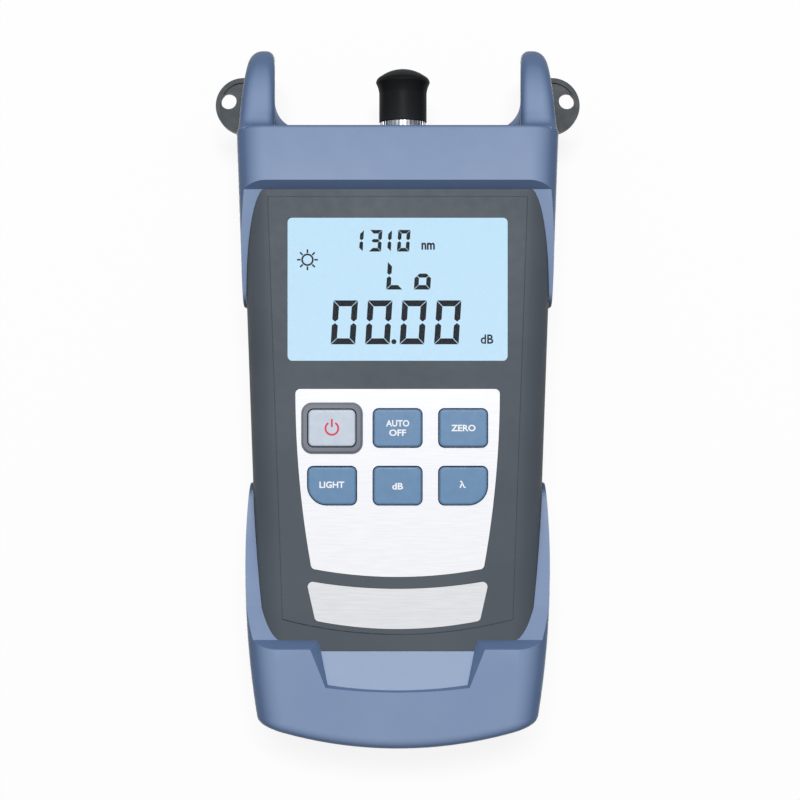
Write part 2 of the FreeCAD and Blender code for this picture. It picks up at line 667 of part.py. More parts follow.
def make_rear_cover():
    form = case_body("rear_cover_form", BACK, "parting", "0")
    round_off(form, "case_edge", level(BACK))
    bevel(form, "seam", level("parting"))
    bores(form, CASE_POSTS, "case_screw + screw_gap", BACK, "case_depth", upwards=True)
    bores(form, CASE_POSTS, "case_screw_head + screw_gap", BACK,
          "case_screw_sunk + case_screw_head_thick", upwards=True)
    for wide, long, deep in (
        (f"{DOOR_WIDE} + 2 * door_gap", f"{DOOR_LONG} + 2 * door_gap", "door_thick + fit_gap"),
        (BAY_WIDE, BAY_LONG, f"{BAY_TOP} - {BACK}"),
    ):
        sketch = sketch_on(form, "XY_Plane", BACK)
        block_outline(sketch, "0", "-cell_middle", wide, long)
        pocket(form, sketch, deep, backwards=True)
    space = hollow("rear_cover_space", f"({BACK} + wall)", f"(parting + {PAST})", f"{BACK} + wall")
    sketch = sketch_on(space, "XY_Plane", BACK)
    block_outline(sketch, "0", "-cell_middle", f"{DOOR_WIDE} + 2 * bay_wall", f"{DOOR_LONG} + 2 * bay_wall")
    pocket(space, sketch, f"{BAY_TOP} + bay_wall - {BACK}", backwards=True)
    bores(space, CASE_POSTS, "post", BACK, "case_depth", upwards=True)
    edge = f"({DOOR_WIDE} / 2 + door_gap)"
    holes = [rod("hinge_hole", x, HINGE_Y, HINGE_Z, "hinge_pin + turn_gap", "hinge_stub + 0.2", "X")
             for x in (f"{edge} - 0.1", f"-{edge} - hinge_stub - 0.1")]
    notch = port_notch("rear_port_notch")
    node(cut("rear_cover_cut", form, space, notch, *holes), "rear_cover")


def guard_arms(body, tip, step, lean, front_line):
    """Cuts a guard to its shape seen from the side. Its step on the face and the edge of its
    arms are given from the tip to the step, as places along the meter and falls from the face."""
    up, down = f"({GUARD_TOP} + {PAST})", f"({GUARD_LOW} - {PAST})"
    away = f"({tip} {'-' if number(step) > number(tip) else '+'} {PAST})"
    front = [(y, f"{FRONT} - {fall}") for y, fall in front_line]
    front += [(f"{step} + ({lean})", GUARD_TOP), (f"{step} + ({lean})", up), (away, up)]
    back = [(y, f"{BACK} + {fall}") for y, fall in front_line]
    back += [(f"{step} + ({lean})", GUARD_LOW), (f"{step} + ({lean})", down), (away, down)]
    points = front + back[::-1]
    profile = sketch_on(body, "YZ_Plane")
    closed_outline(profile, points if number(step) > number(tip) else points[::-1])
    pocket(body, profile, "4 * case_top_half", both_ways=True)
    tips = [front[0], back[0]]
    round_off(body, "arm_soft", along("X", *tips))


def rolled_block(name, low, high):
    """A block over the case between two places along it, with rolled long edges."""
    body = new_body(name)
    sketch = sketch_on(body, "XY_Plane", GUARD_LOW)
    wide, narrow = f"({side(high)} + top_skin)", f"({side(low)} + top_skin)"
    closed_outline(sketch, [(f"-{narrow}", low), (narrow, low), (wide, high), (f"-{wide}", high)])
    pad(body, sketch, f"{GUARD_TOP} - {GUARD_LOW}")
    rims = (level(GUARD_LOW), level(GUARD_TOP))
    round_off(body, "guard_edge", lambda e: any(r(e) for r in rims) and e.BoundBox.YLength > 1)
    return body


def make_top_guard():
    body = rolled_block("top_guard_body", f"(top_tip - {PAST})", GUARD_END)
    guard_arms(body, "top_tip", "top_step", "step_lean", [("top_tip", "arm_fall"), ("top_step", "0")])
    end = number(GUARD_END)
    round_off(body, "end_edge", lambda e: abs(e.BoundBox.YMin - end) < 0.001)
    trim = rolled_block("horn_trim_block", "(case_top - wall)", f"(horn_tip + {PAST})")
    horns = combine("Common", "horns_trimmed", make_horns(), trim)
    whole = fuse("top_guard_whole", body, horns, *[horn_root(hand) for hand in (1, -1)])
    cavity = case_room("top_guard_room")
    port = rod("port_hole", "port_x", "case_top - 1", "port_z", "ring_radius + port_gap",
               "top_end_wall + 2", "Y")
    slots = [lug_slot(hand) for hand in (1, -1)]
    node(cut("top_guard_cut", whole, cavity, port, *slots), "top_guard")


def make_horns():
    """The two horns: plates with coved roots, arched tops, leaning sides and rounded rims."""
    body = new_body("horns")
    foot, root = f"({GUARD_END} - fit_gap)", "(case_top + top_end_wall / 2)"
    face, back = f"({MIDDLE} + horn_depth / 2)", f"({MIDDLE} - horn_depth / 2)"
    cove, arch = f"({foot} + horn_cove)", "(horn_tip - horn_depth / 2)"
    points = [(root, f"({back} - horn_cove)"), (foot, f"({back} - horn_cove)"), (cove, back), (arch, back)]
    points += [("horn_tip", MIDDLE), (arch, face), (cove, face), (foot, f"({face} + horn_cove)")]
    points += [(root, f"({face} + horn_cove)")]
    profile = sketch_on(body, "YZ_Plane")
    arcs = {1: "-horn_cove", 3: "horn_depth / 2", 4: "horn_depth / 2", 6: "-horn_cove"}
    closed_outline(profile, points, arcs)
    pad(body, profile, "4 * case_top_half", both_ways=True)
    low, up = f"({back} - horn_cove - {PAST})", f"({face} + horn_cove + {PAST})"
    lean = f"(horn_draft / horn_depth * ({face} - ({low})))", f"(horn_draft / horn_depth * ({face} - ({up})))"
    sketch = sketch_on(body, "XZ_Plane", f"{PAST} - {root}")
    gap = [(f"(horn_inner + {lean[0]})", low), (f"(horn_inner + {lean[1]})", up)]
    closed_outline(sketch, gap + [(f"-{x}", z) for x, z in gap[::-1]])
    pocket(body, sketch, f"horn_tip - {root} + 2 * {PAST}")
    start, end, far = f"({root} - {PAST})", f"(horn_tip + {PAST})", f"(2 * case_top_half + {PAST})"
    sketch = sketch_on(body, "XY_Plane")
    outer = [(f"({side(root)} + top_skin)", start), (far, start), (far, end), ("horn_tip_half", end)]
    closed_outline(sketch, outer)
    closed_outline(sketch, [(f"-{x}", y) for x, y in outer[::-1]])
    pocket(body, sketch, f"4 * {MIDDLE}", both_ways=True)
    lowest, split = number(foot) - 0.01, number("(horn_inner + horn_draft + horn_tip_half) / 2")

    def rim(outside):
        def chosen(edge):
            box = edge.BoundBox
            lengthwise = box.XLength < 0.5 * edge.Length and box.YLength > 0.01
            return lengthwise and box.YMin > lowest and (abs(box.Center.x) > split) == outside
        return chosen

    round_off(body, "horn_outer_round", rim(True))
    round_off(body, "horn_inner_round", rim(False))
    return body


def horn_root(hand):
    """The flare at the foot of a horn's inner side, leaning with that side."""
    body = new_body("horn_root")
    foot, inner = f"({GUARD_END} - fit_gap)", "(horn_inner + horn_draft * horn_inner_round / horn_depth)"
    within, top = "(horn_inner + horn_draft)", f"({foot} + horn_flare)"
    points = [(f"({inner} - horn_flare)", foot), (within, foot), (within, top), (inner, top)]
    if hand < 0:
        points = [(f"-{x}", y) for x, y in points[::-1]]
    sketch = sketch_on(body, "XY_Plane", f"{MIDDLE} + horn_depth / 2 - horn_inner_round")
    closed_outline(sketch, points, {3: "-horn_flare"})
    flare = pad(body, sketch, "horn_depth - 2 * horn_inner_round")
    flare.UseCustomVector = True
    flare.Direction = Vector(0, 0, -1)
    bind(flare, "Direction.x", f"{hand} * horn_draft / horn_depth")
    doc.recompute()
    return body


def case_room(name):
    """The case's outer form with the fitting clearance, which the guards are cut out by."""
    low, high = f"({BACK} - fit_gap)", f"({FRONT} + fit_gap)"
    body = case_body(name, low, high, "-fit_gap")
    rims = (level(low), level(high))
    round_off(body, "case_edge + fit_gap", lambda e: any(r(e) for r in rims))
    return body


def lug_slot(hand):
    """The slot in a horn that a strap lug's disc sits in."""
    reach = "lug_radius + fit_gap"
    thick = "(lug_thick + 2 * lug_rim_rise + 2 * fit_gap)"
    low = f"{MIDDLE} - {thick} / 2"
    disc = rod("lug_slot_disc", f"{hand} * lug_x", "lug_y", low, reach, thick)
    keep = brick("lug_slot_keep", f"{hand} * (lug_x - lug_foot + lug_radius)", "lug_y", low,
                 "2 * lug_radius + 2 * fit_gap", f"2 * ({reach}) + 2 * fit_gap", thick)
    return combine("Common", "lug_slot", disc, keep)


def make_bottom_guard():
    body = new_body("bottom_guard_body")
    sketch = sketch_on(body, "XY_Plane", GUARD_LOW)
    low, high = "-bottom_corner_y", f"(-bottom_tip + {PAST})"
    points = [("-bottom_corner_half", low), ("bottom_corner_half", low)]
    points += [("bottom_tip_half", high), ("-bottom_tip_half", high)]
    crown = bow("bottom_corner_half", "(bottom_end - bottom_corner_y)")
    closed_outline(sketch, points, {0: crown, 1: "bottom_bulge", 3: "bottom_bulge"})
    pad(body, sketch, f"{GUARD_TOP} - {GUARD_LOW}")
    rims = (level(GUARD_LOW), level(GUARD_TOP))
    long_edge = number("bottom_bend")
    round_off(body, "guard_edge", lambda e: any(r(e) for r in rims) and e.BoundBox.YLength > long_edge)
    line = [("-bottom_tip", "arm_fall"), ("-bottom_bend", "bottom_bend_fall"), ("-bottom_step", "0")]
    guard_arms(body, "-bottom_tip", "-bottom_step", "-step_lean", line)
    corner = number(low) + 0.001
    round_off(body, "bottom_corner", lambda e: e.BoundBox.YMax < corner)
    node(cut("bottom_guard_cut", body, ramp_room(), case_room("bottom_guard_room")), "bottom_guard")


def ramp_room():
    """The space over the ramp that is moulded into the bottom guard."""
    body = new_body("ramp_room")
    sketch = sketch_on(body, "XY_Plane", FRONT)
    top, foot = f"-(bottom_step - {PAST})", "-ramp_foot"
    narrow = "(ramp_bottom_half - ramp_flare)"
    points = [(f"-{narrow}", foot), (narrow, foot), ("ramp_top_half", top), ("-ramp_top_half", top)]
    closed_outline(sketch, points, {0: bow(narrow, "ramp_bow")})
    feature = pad(body, sketch, "guard_proud + 1")
    bind(feature, "TaperAngle", "ramp_lean")
    doc.recompute()
    slope = sketch_on(body, "YZ_Plane")
    start, end = "-(bottom_step + ramp_start)", f"({foot} - guard_proud - ramp_bow)"
    low, high, far = f"({FRONT} - guard_proud)", f"{GUARD_TOP} - ramp_lip", f"({end} - guard_proud)"
    floor = [(far, low), (start, low), (start, f"{FRONT} + ramp_lip"), (end, high), (far, high)]
    closed_outline(slope, floor)
    pocket(body, slope, "4 * ramp_top_half", both_ways=True)
    return body


PANEL_UP = f"({FIELD} - panel_recess + panel_thick)"
KEY_TOP = f"({FIELD} + key_proud)"
FLANGE_TOP = f"({INSIDE} - key_seat)"
FLANGE_LOW = f"({FLANGE_TOP} - key_flange_thick)"
STEM_LOW = f"({FLANGE_LOW} - key_stem_long)"
BOARD_LOW = f"({BOARD_UP} - board_thick)"
PANE_LOW = f"({INSIDE} - window_flange_thick)"
LCD_LOW = f"({PANE_LOW} - lcd_thick)"
LIGHT_LOW = f"({LCD_LOW} - backlight_thick)"
LCD_WIDE = "(window_width + 2 * window_flange)"
LCD_HIGH = "(window_height + 2 * window_flange)"


def plain_pad(body, corners, low, high):
    """A pad of an outline between two heights."""
    sketch = sketch_on(body, "XY_Plane", low)
    closed_outline(sketch, corners)
    pad(body, sketch, f"{high} - ({low})")


def slab(name, x, y, width, height, low, high):
    """A body that is a plain slab."""
    body = new_body(name + "_body")
    plain_pad(body, block_corners(x, y, width, height), low, high)
    return body


def make_display():
    """The pane, the liquid-crystal cell, its light guide, contact strips and frame."""
    pane = slab("display_window", "0", "window_y", LCD_WIDE, LCD_HIGH, PANE_LOW, INSIDE)
    corners = block_corners("0", "window_y", "window_width", "window_height")
    plain_pad(pane, corners, INSIDE, f"{FIELD} - window_sunk")
    round_off(pane, "window_corner", along("Z", *corners))
    node(pane, "display_window")
    cell = slab("lcd_panel", "0", "window_y", LCD_WIDE, LCD_HIGH, LCD_LOW, PANE_LOW)
    node(cell, "lcd_panel")
    strip_room = "(strip_width + 2 * fit_gap)"
    guide = slab("backlight", "0", "window_y", LCD_WIDE, f"{LCD_HIGH} - 2 * {strip_room}",
                 LIGHT_LOW, LCD_LOW)
    node(guide, "backlight")
    strips = []
    for sign in ("+", "-"):
        y = f"(window_y {sign} ({LCD_HIGH} - {strip_room}) / 2)"
        strips.append(brick("strip", "0", y, BOARD_UP, "window_width", "strip_width",
                            f"{LCD_LOW} - {BOARD_UP}"))
    node(fuse("contact_strips_group", *strips), "contact_strips")
    frame = slab("display_frame", "0", "window_y", f"{LCD_WIDE} + 2 * fit_gap + 2 * lcd_frame_wall",
                 f"{LCD_HIGH} + 2 * fit_gap + 2 * lcd_frame_wall", BOARD_UP, PANE_LOW)
    sketch = sketch_on(frame, "XY_Plane", PANE_LOW)
    block_outline(sketch, "0", "window_y", f"{LCD_WIDE} + 2 * fit_gap", f"{LCD_HIGH} + 2 * fit_gap")
    pocket(frame, sketch, f"{PANE_LOW} - {LIGHT_LOW}")
    sketch = sketch_on(frame, "XY_Plane", LIGHT_LOW)
    for sign in ("+", "-"):
        y = f"(window_y {sign} ({LCD_HIGH} - {strip_room}) / 2)"
        block_outline(sketch, "0", y, "window_width + 2 * fit_gap", strip_room)
    pocket(frame, sketch, f"{LIGHT_LOW} - {BOARD_UP}")
    node(frame, "display_frame")


def make_panels():
    """The key panel with its windows, and the name plate below it."""
    low = f"({FIELD} - panel_recess)"
    panel = new_body("keypad_panel_body")
    sketch = sketch_on(panel, "XY_Plane", low)
    corners = panel_outline(sketch, "0")
    pad(panel, sketch, "panel_thick")
    round_off(panel, "panel_corner", along("Z", *corners))
    cut_key_windows(panel, PANEL_UP, f"{PANEL_UP} - {low} + 1")
    node(panel, "keypad_panel")
    plate = new_body("name_plate_body")
    sketch = sketch_on(plate, "XY_Plane", low)
    corners = plate_outline(sketch, "0")
    pad(plate, sketch, "panel_thick")
    round_off(plate, "panel_corner", along("Z", *corners))
    node(plate, "name_plate")


def make_keys():
    """Six keys, each with a flange under the cover and a stem over its dome."""
    for name, (x, y) in KEYS.items():
        wide, high = key_size(name)
        body = new_body(name + "_body")
        flange = block_corners(x, y, f"{wide} + 2 * key_flange", f"{high} + 2 * key_flange")
        plain_pad(body, flange, FLANGE_LOW, FLANGE_TOP)
        corners = block_corners(x, y, wide, high)
        plain_pad(body, corners, FLANGE_TOP, KEY_TOP)
        swept = [corners[SWEPT[name]]] if name in SWEPT else []
        round_off(body, "key_corner", along("Z", *[c for c in corners if c not in swept]))
        if swept:
            round_off(body, "key_swept", along("Z", *swept))
        round_off(body, "key_soft", level(KEY_TOP))
        sketch = sketch_on(body, "XY_Plane", FLANGE_LOW)
        circle_at(sketch, x, y, "key_stem")
        pad(body, sketch, "key_stem_long", backwards=True)
        node(body, name)


def make_bezel():
    """The raised rim round the power key."""
    x, y = KEYS["power_key"]
    wide, high = key_size("power_key")
    body = new_body("power_key_bezel_body")
    skirt = block_corners(x, y, f"{RIM_WIDE} - 2 * bezel_step", f"{RIM_HIGH} - 2 * bezel_step")
    plain_pad(body, skirt, INSIDE, PANEL_UP)
    round_off(body, SKIRT_CORNER, along("Z", *skirt))
    rim = block_corners(x, y, RIM_WIDE, RIM_HIGH)
    plain_pad(body, rim, PANEL_UP, f"{FIELD} + bezel_proud")
    round_off(body, "key_corner + bezel_wall", along("Z", *rim))
    bevel(body, "bezel_soft", level(f"{FIELD} + bezel_proud"))
    hole = block_corners(x, y, f"{wide} + 2 * key_gap", f"{high} + 2 * key_gap")
    sketch = sketch_on(body, "XY_Plane", f"{FIELD} + bezel_proud")
    closed_outline(sketch, hole)
    pocket(body, sketch, "2 * board_deep")
    round_off(body, "key_corner + key_gap", along("Z", *hole))
    node(body, "power_key_bezel")


def make_key_mat():
    """The rubber mat on the board, with a dome under each key."""
    low_row, high_row = "(-key_row_2 - key_height / 2)", "(key_height / 2 - key_row_1)"
    mat = slab("keypad_mat", "0", f"({low_row} + {high_row}) / 2",
               "2 * key_pitch_x + key_width + 2 * mat_edge", f"{high_row} - {low_row} + 2 * mat_edge",
               BOARD_UP, f"{BOARD_UP} + mat_thick")
    domes = []
    for x, y in KEYS.values():
        dome = doc.addObject("Part::Cone", "dome")
        bind(dome, "Radius1", "dome_foot")
        bind(dome, "Radius2", "key_stem")
        bind(dome, "Height", f"{STEM_LOW} - dome_air - {BOARD_UP} - mat_thick")
        bind(dome, "Placement.Base.x", x)
        bind(dome, "Placement.Base.y", y)
        bind(dome, "Placement.Base.z", f"{BOARD_UP} + mat_thick")
        domes.append(dome)
    node(fuse("keypad_mat_domes", mat, *domes), "keypad_mat")


def make_board():
    """The main board, its screws, and the chips under it."""
    board = new_body("main_board_body")
    corners = [("-board_half", "-board_bottom"), ("board_half", "-board_bottom")]
    corners += [("board_half", "board_top"), ("-board_half", "board_top")]
    plain_pad(board, corners, BOARD_LOW, BOARD_UP)
    bores(board, BOARD_POSTS, "board_screw + screw_gap", BOARD_LOW, "2 * board_thick", upwards=True)
    node(board, "main_board")
    screws = []
    for x, y in BOARD_POSTS:
        head = rod("board_screw_head", x, y, f"{BOARD_LOW} - board_screw_head", "board_screw_head",
                   "board_screw_head")
        shank = rod("board_screw_shank", x, y, f"{BOARD_LOW} - 1", "board_screw - turn_gap",
                    f"board_thick + board_screw_long")
        screws.append(fuse("board_screw", head, shank))
    node(fuse("board_screws_group", *screws), "board_screws")
    chips = []
    for x, y, wide, high in CHIPS:
        chips.append(brick("chip", x, y, f"{BOARD_LOW} - chip_thick", wide, high, "chip_thick"))
    node(fuse("board_chips_group", *chips), "board_chips")


CHIPS = [
    ("0", "0", "chip_side", "chip_side"),
    ("-1.5 * chip_side", "chip_side", "chip_side", "chip_side / 2"),
    ("1.5 * chip_side", "chip_side / 2", "chip_side / 2", "chip_side / 2"),
    ("0", "board_top - 1.5 * chip_side", "chip_side", "chip_side / 2"),
]


def make_case_screws():
    """The four screws that hold the case together, put in from the back."""
    screws = []
    for x, y in CASE_POSTS:
        head = rod("case_screw_head", x, y, SCREW_START, "case_screw_head", "case_screw_head_thick")
        shank = rod("case_screw_shank", x, y, f"{SCREW_START} + case_screw_head_thick / 2",
                    "case_screw - turn_gap", f"case_screw_long - case_screw_head_thick / 2")
        screws.append(fuse("case_screw", head, shank))
    node(fuse("case_screws_group", *screws), "case_screws")


def make_batteries():
    """Three cells head to tail, with a plate at each end and a spring at each flat end."""
    plates, springs = [], []
    half = f"({BAY_LONG} / 2)"
    axis = f"({BAY_FLOOR} + cell_radius)"
    for index, way in ((0, 1), (1, -1), (2, 1)):
        x = f"({index - 1} * cell_pitch)"
        foot = f"(-cell_middle - {way} * ({half} - contact_thick - spring_long))"
        flat = foot if way > 0 else f"{foot} - cell_long"
        tip = f"({foot} + {way} * cell_long)"
        can = rod("cell_can", x, flat, axis, "cell_radius", "cell_long", "Y")
        start = tip if way > 0 else f"{tip} - cell_button_long"
        button = rod("cell_button", x, start, axis, "cell_button", "cell_button_long", "Y")
        node(fuse("cell", can, button), f"battery_cell_{index + 1}")
        for end in (1, -1):
            y = f"(-cell_middle + {end} * ({half} - contact_thick / 2))"
            plates.append(brick("plate", x, y, f"{axis} - cell_radius / 2", "cell_radius + cell_button",
                                "contact_thick", "cell_radius"))
        springs.append(make_spring(x, axis, way, half))
    node(fuse("battery_plates_group", *plates), "battery_plates")
    node(fuse("battery_springs_group", *springs), "battery_springs")


def make_spring(x, axis, way, half):
    """A coil spring between a plate and the flat end of a cell."""
    helix = doc.addObject("Part::Helix", "spring_line")
    bind(helix, "Pitch", "(spring_long - 2 * spring_wire) / spring_turns")
    bind(helix, "Height", "spring_long - 2 * spring_wire")
    bind(helix, "Radius", "spring_radius")
    circle = doc.addObject("Part::Circle", "spring_section")
    bind(circle, "Radius", "spring_wire")
    circle.Placement.Rotation = Rotation(Vector(1, 0, 0), 90)
    bind(circle, "Placement.Base.x", "spring_radius")
    coil = doc.addObject("Part::Sweep", "spring_coil")
    coil.Sections = [circle]
    coil.Spine = (helix, [])
    coil.Solid = True
    coil.Frenet = True
    coil.Placement.Rotation = Rotation(Vector(1, 0, 0), -90 * way)
    bind(coil, "Placement.Base.x", x)
    bind(coil, "Placement.Base.y", f"-cell_middle - {way} * ({half} - contact_thick - spring_wire)")
    bind(coil, "Placement.Base.z", axis)
    return coil


def make_battery_door():
    """The battery door, with a round hinge edge, two stubs, grip grooves and a tongue."""
    body = new_body("battery_door_body")
    up = f"({BACK} + door_thick)"
    plain_pad(body, block_corners("0", "-cell_middle", DOOR_WIDE, DOOR_LONG), BACK, up)
    low_end = f"(-cell_middle - {DOOR_LONG} / 2)"
    round_off(body, "door_thick / 2 - turn_gap", along("X", (low_end, BACK), (low_end, up)))
    high_end = f"(-cell_middle + {DOOR_LONG} / 2)"
    round_off(body, "door_corner / 2", along("Z", (f"{DOOR_WIDE} / 2", high_end),
                                             (f"-{DOOR_WIDE} / 2", high_end)))
    sketch = sketch_on(body, "XY_Plane", BACK)
    for index in range(3):
        y = f"({high_end} - {index + 2} * grip_pitch)"
        block_outline(sketch, "0", y, "grip_width", "grip_groove")
    pocket(body, sketch, "grip_deep", backwards=True)
    stubs = [rod("hinge_stub", x, HINGE_Y, HINGE_Z, "hinge_pin", "2 * hinge_stub", "X")
             for x in (f"{DOOR_WIDE} / 2 - hinge_stub", f"-{DOOR_WIDE} / 2 - hinge_stub")]
    tongue = brick("door_tongue", "0", f"(-cell_middle + {BAY_LONG} / 2 - contact_thick - tongue_thick)",
                   f"{up} - 1", "tongue_width", "tongue_thick", "tongue_tall + 1")
    node(fuse("battery_door_whole", body, tongue, *stubs), "battery_door")


FLANGE_Y = "(case_top - wall - tube_flange_thick)"
TAIL_Y = f"({FLANGE_Y} - tube_tail)"
RING_FOOT = "(ring_top - ring_long)"
BARREL_END = "(ring_top + adapter_long)"


def port_rod(name, start, radius, length):
    """A cylinder on the fibre port's axis."""
    return rod(name, "port_x", start, "port_z", radius, length, "Y")


def make_detector():
    """The tube that carries the photodiode through the case's end, its nut and its board."""
    tube = port_rod("tube_barrel", TAIL_Y, "tube_radius", f"tube_nose - {TAIL_Y}")
    flange = port_rod("tube_collar", FLANGE_Y, "tube_flange", "tube_flange_thick")
    bore = port_rod("tube_hole", f"{TAIL_Y} - 1", "tube_bore", f"tube_nose - {TAIL_Y} + 2")
    node(cut("detector_tube_cut", fuse("tube_whole", tube, flange), bore), "detector_tube")
    nut = port_rod("nut_disc", "case_top", "ring_radius - fit_gap", "port_nut_thick")
    hole = port_rod("nut_hole", "case_top - 1", "tube_radius + turn_gap", "port_nut_thick + 2")
    node(cut("port_nut_cut", nut, hole), "port_nut")
    front = "(tube_nose - can_front)"
    can = port_rod("can", f"{front} - can_long", "can_radius", "can_long")
    leads = []
    for turn in range(3):
        angle = 90 + 120 * turn
        x = f"port_x + lead_pitch * cos({angle} deg)"
        z = f"port_z + lead_pitch * sin({angle} deg)"
        start = f"({TAIL_Y} - sensor_board_thick - 0.5)"
        leads.append(rod("lead", x, start, z, "lead_radius", f"{front} - can_long / 2 - {start}", "Y"))
    node(fuse("photodiode_whole", can, *leads), "photodiode")
    board = brick("detector_board_plate", "port_x", f"{TAIL_Y} - sensor_board_thick / 2",
                  "port_z - sensor_board / 2", "sensor_board", "sensor_board_thick", "sensor_board")
    holes = []
    for turn in range(3):
        angle = 90 + 120 * turn
        x = f"port_x + lead_pitch * cos({angle} deg)"
        z = f"port_z + lead_pitch * sin({angle} deg)"
        holes.append(rod("lead_hole", x, f"{TAIL_Y} - 2 * sensor_board_thick", z,
                         "lead_radius + turn_gap", "3 * sensor_board_thick", "Y"))
    node(cut("detector_board_cut", board, *holes), "detector_board")


def make_adapter():
    """The screw-on adapter with its ceramic sleeve."""
    flange = port_rod("adapter_disc", "tube_nose", "adapter_flange", "adapter_flange_thick")
    barrel = port_rod("adapter_barrel", "tube_nose", "adapter_radius", f"{BARREL_END} - tube_nose")
    hole = port_rod("adapter_hole", "tube_nose - 1", "sleeve_radius + turn_gap",
                    f"{BARREL_END} - tube_nose + 2")
    socket = port_rod("adapter_socket_room", f"{BARREL_END} - adapter_socket_deep", "adapter_socket",
                      "adapter_socket_deep + 1")
    key = brick("adapter_key", "port_x", f"{BARREL_END} - adapter_keyway_deep / 2 + 0.5", "port_z",
                "adapter_keyway", "adapter_keyway_deep + 1", "2 * adapter_radius")
    whole = fuse("adapter_whole", flange, barrel)
    node(cut("fc_adapter_cut", whole, hole, socket, key), "fc_adapter")
    length = f"({BARREL_END} - sleeve_short - tube_nose)"
    sleeve = port_rod("sleeve", "tube_nose", "sleeve_radius", length)
    bore = port_rod("sleeve_bore", "tube_nose - 1", "ferrule_bore", f"{length} + 2")
    node(cut("ferrule_sleeve_cut", sleeve, bore), "ferrule_sleeve")


def make_ring():
    """The knurled ring that screws the adapter onto the tube."""
    body = new_body("adapter_ring_body")
    bind(body, "Placement.Base.x", "port_x")
    sketch = sketch_on(body, "XZ_Plane", f"-{RING_FOOT}")
    circle_at(sketch, "0", "port_z", "ring_radius")
    pad(body, sketch, "ring_long", backwards=True)
    sketch = sketch_on(body, "XZ_Plane", f"-{RING_FOOT}")
    reach = "(ring_radius - knurl_deep)"
    half = "(knurl_deep * 1.2)"
    points = [("0", f"port_z + {reach}"), (half, f"port_z + ring_radius + knurl_deep")]
    points += [(f"-{half}", f"port_z + ring_radius + knurl_deep")]
    closed_outline(sketch, points)
    groove = pocket(body, sketch, "ring_long")
    ring = body.newObject("PartDesign::PolarPattern", "ring_knurls")
    ring.Originals = [groove]
    axis = body.newObject("PartDesign::Line", "ring_axis")
    axis.Placement.Rotation = Rotation(Vector(1, 0, 0), -90)
    bind(axis, "Placement.Base.z", "port_z")
    ring.Axis = (axis, [""])
    ring.Angle = 360
    bind(ring, "Occurrences", "ring_lugs")
    body.Tip = ring
    doc.recompute()
    bores_in = [
        port_rod("ring_thread", f"{RING_FOOT} - 1", "tube_radius + turn_gap", "ring_long"),
        port_rod("ring_seat", "tube_nose - turn_gap", "adapter_flange + fit_gap",
                 "ring_top - ring_lip - tube_nose + turn_gap"),
        port_rod("ring_mouth", f"{RING_FOOT} - 1", "adapter_radius + fit_gap", "ring_long + 2"),
    ]
    node(cut("adapter_ring_cut", body, *bores_in), "adapter_ring")


def make_dust_cap():
    """The rubber cap over the adapter's barrel: one turned outline."""
    body = new_body("dust_cap_body")
    bind(body, "Placement.Base.x", "port_x")
    sketch = sketch_on(body, "XY_Plane", "port_z")
    inner = "(adapter_radius + turn_gap)"
    roof = "(cap_tip - cap_roof)"
    points = [(inner, "cap_foot"), ("cap_skirt", "cap_foot"), ("cap_skirt", "cap_neck")]
    points += [("cap_bulge", "cap_widest"), ("cap_shoulder", "cap_crown"), ("0", "cap_tip")]
    points += [("0", roof), (inner, roof)]
    dome = bow("cap_shoulder", "(cap_tip - cap_crown)")
    closed_outline(sketch, points, {2: "-cap_flare", 3: "cap_lip", 4: dome})
    turned = body.newObject("PartDesign::Revolution", "dust_cap_turned")
    turned.Profile = sketch
    turned.ReferenceAxis = (sketch, ["V_Axis"])
    turned.Angle = 360
    sketch.Visibility = False
    doc.recompute()
    node(body, "dust_cap")


def make_strap_lugs():
    """The strap lugs: flat discs with a raised rim, held in slots in the horns."""
    low = f"({MIDDLE} - lug_thick / 2)"
    plate = rod("lug_plate", "lug_x", "lug_y", low, "lug_radius", "lug_thick")
    rim_low, rim_thick = f"{low} - lug_rim_rise", "lug_thick + 2 * lug_rim_rise"
    rim = rod("lug_rim_disc", "lug_x", "lug_y", rim_low, "lug_radius", rim_thick)
    dish = rod("lug_dish", "lug_x", "lug_y", f"{rim_low} - 1", "lug_radius - lug_rim", f"{rim_thick} + 2")
    whole = fuse("lug_whole", plate, cut("lug_rim_ring", rim, dish))
    keep = brick("lug_keep", "lug_x - lug_foot + lug_radius", "lug_y", f"{rim_low} - 1",
                 "2 * lug_radius", "2 * lug_radius + 2", f"{rim_thick} + 2")
    eye = rod("lug_eye_hole", "eye_x", "eye_y", f"{rim_low} - 1", "lug_eye", f"{rim_thick} + 2")
    right = cut("lug_right_cut", combine("Common", "lug_half", whole, keep), eye)
    node(right, "strap_lug_right")
    left = doc.addObject("Part::Mirroring", "lug_left")
    left.Source = right
    left.Normal = Vector(1, 0, 0)
    doc.recompute()
    node(left, "strap_lug_left")


def make_all():
    make_front_cover()
    make_rear_cover()
    make_top_guard()
    make_bottom_guard()
    make_strap_lugs()
    make_display()
    make_panels()
    make_keys()
    make_bezel()
    make_key_mat()
    make_board()
    make_case_screws()
    make_batteries()
    make_battery_door()
    make_detector()
    make_adapter()
    make_ring()
    make_dust_cap()


def write_parts():
    """Checks every object of the document, then writes one STEP file for each sub-part."""
    doc.recompute()
    failed = [item.Name for item in doc.Objects if {"Invalid", "Error"} & set(item.State)]
    if failed:
        raise RuntimeError("these objects failed: " + ", ".join(failed))
    for item in NODES:
        if item.Shape.isNull() or not item.Shape.isValid():
            raise RuntimeError(f"{item.Label} has no valid shape")
    os.makedirs("parts", exist_ok=True)
    for item in NODES:
        item.Shape.exportStep(f"parts/{item.Label}.step")


make_all()
write_parts()
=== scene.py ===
"""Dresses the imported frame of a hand-held fibre optical power meter.

The meter lies on its back with its display facing up, +Y towards the fibre port.
Sizes are in millimetres until a mesh is finished, when METRE turns them to metres.
"""

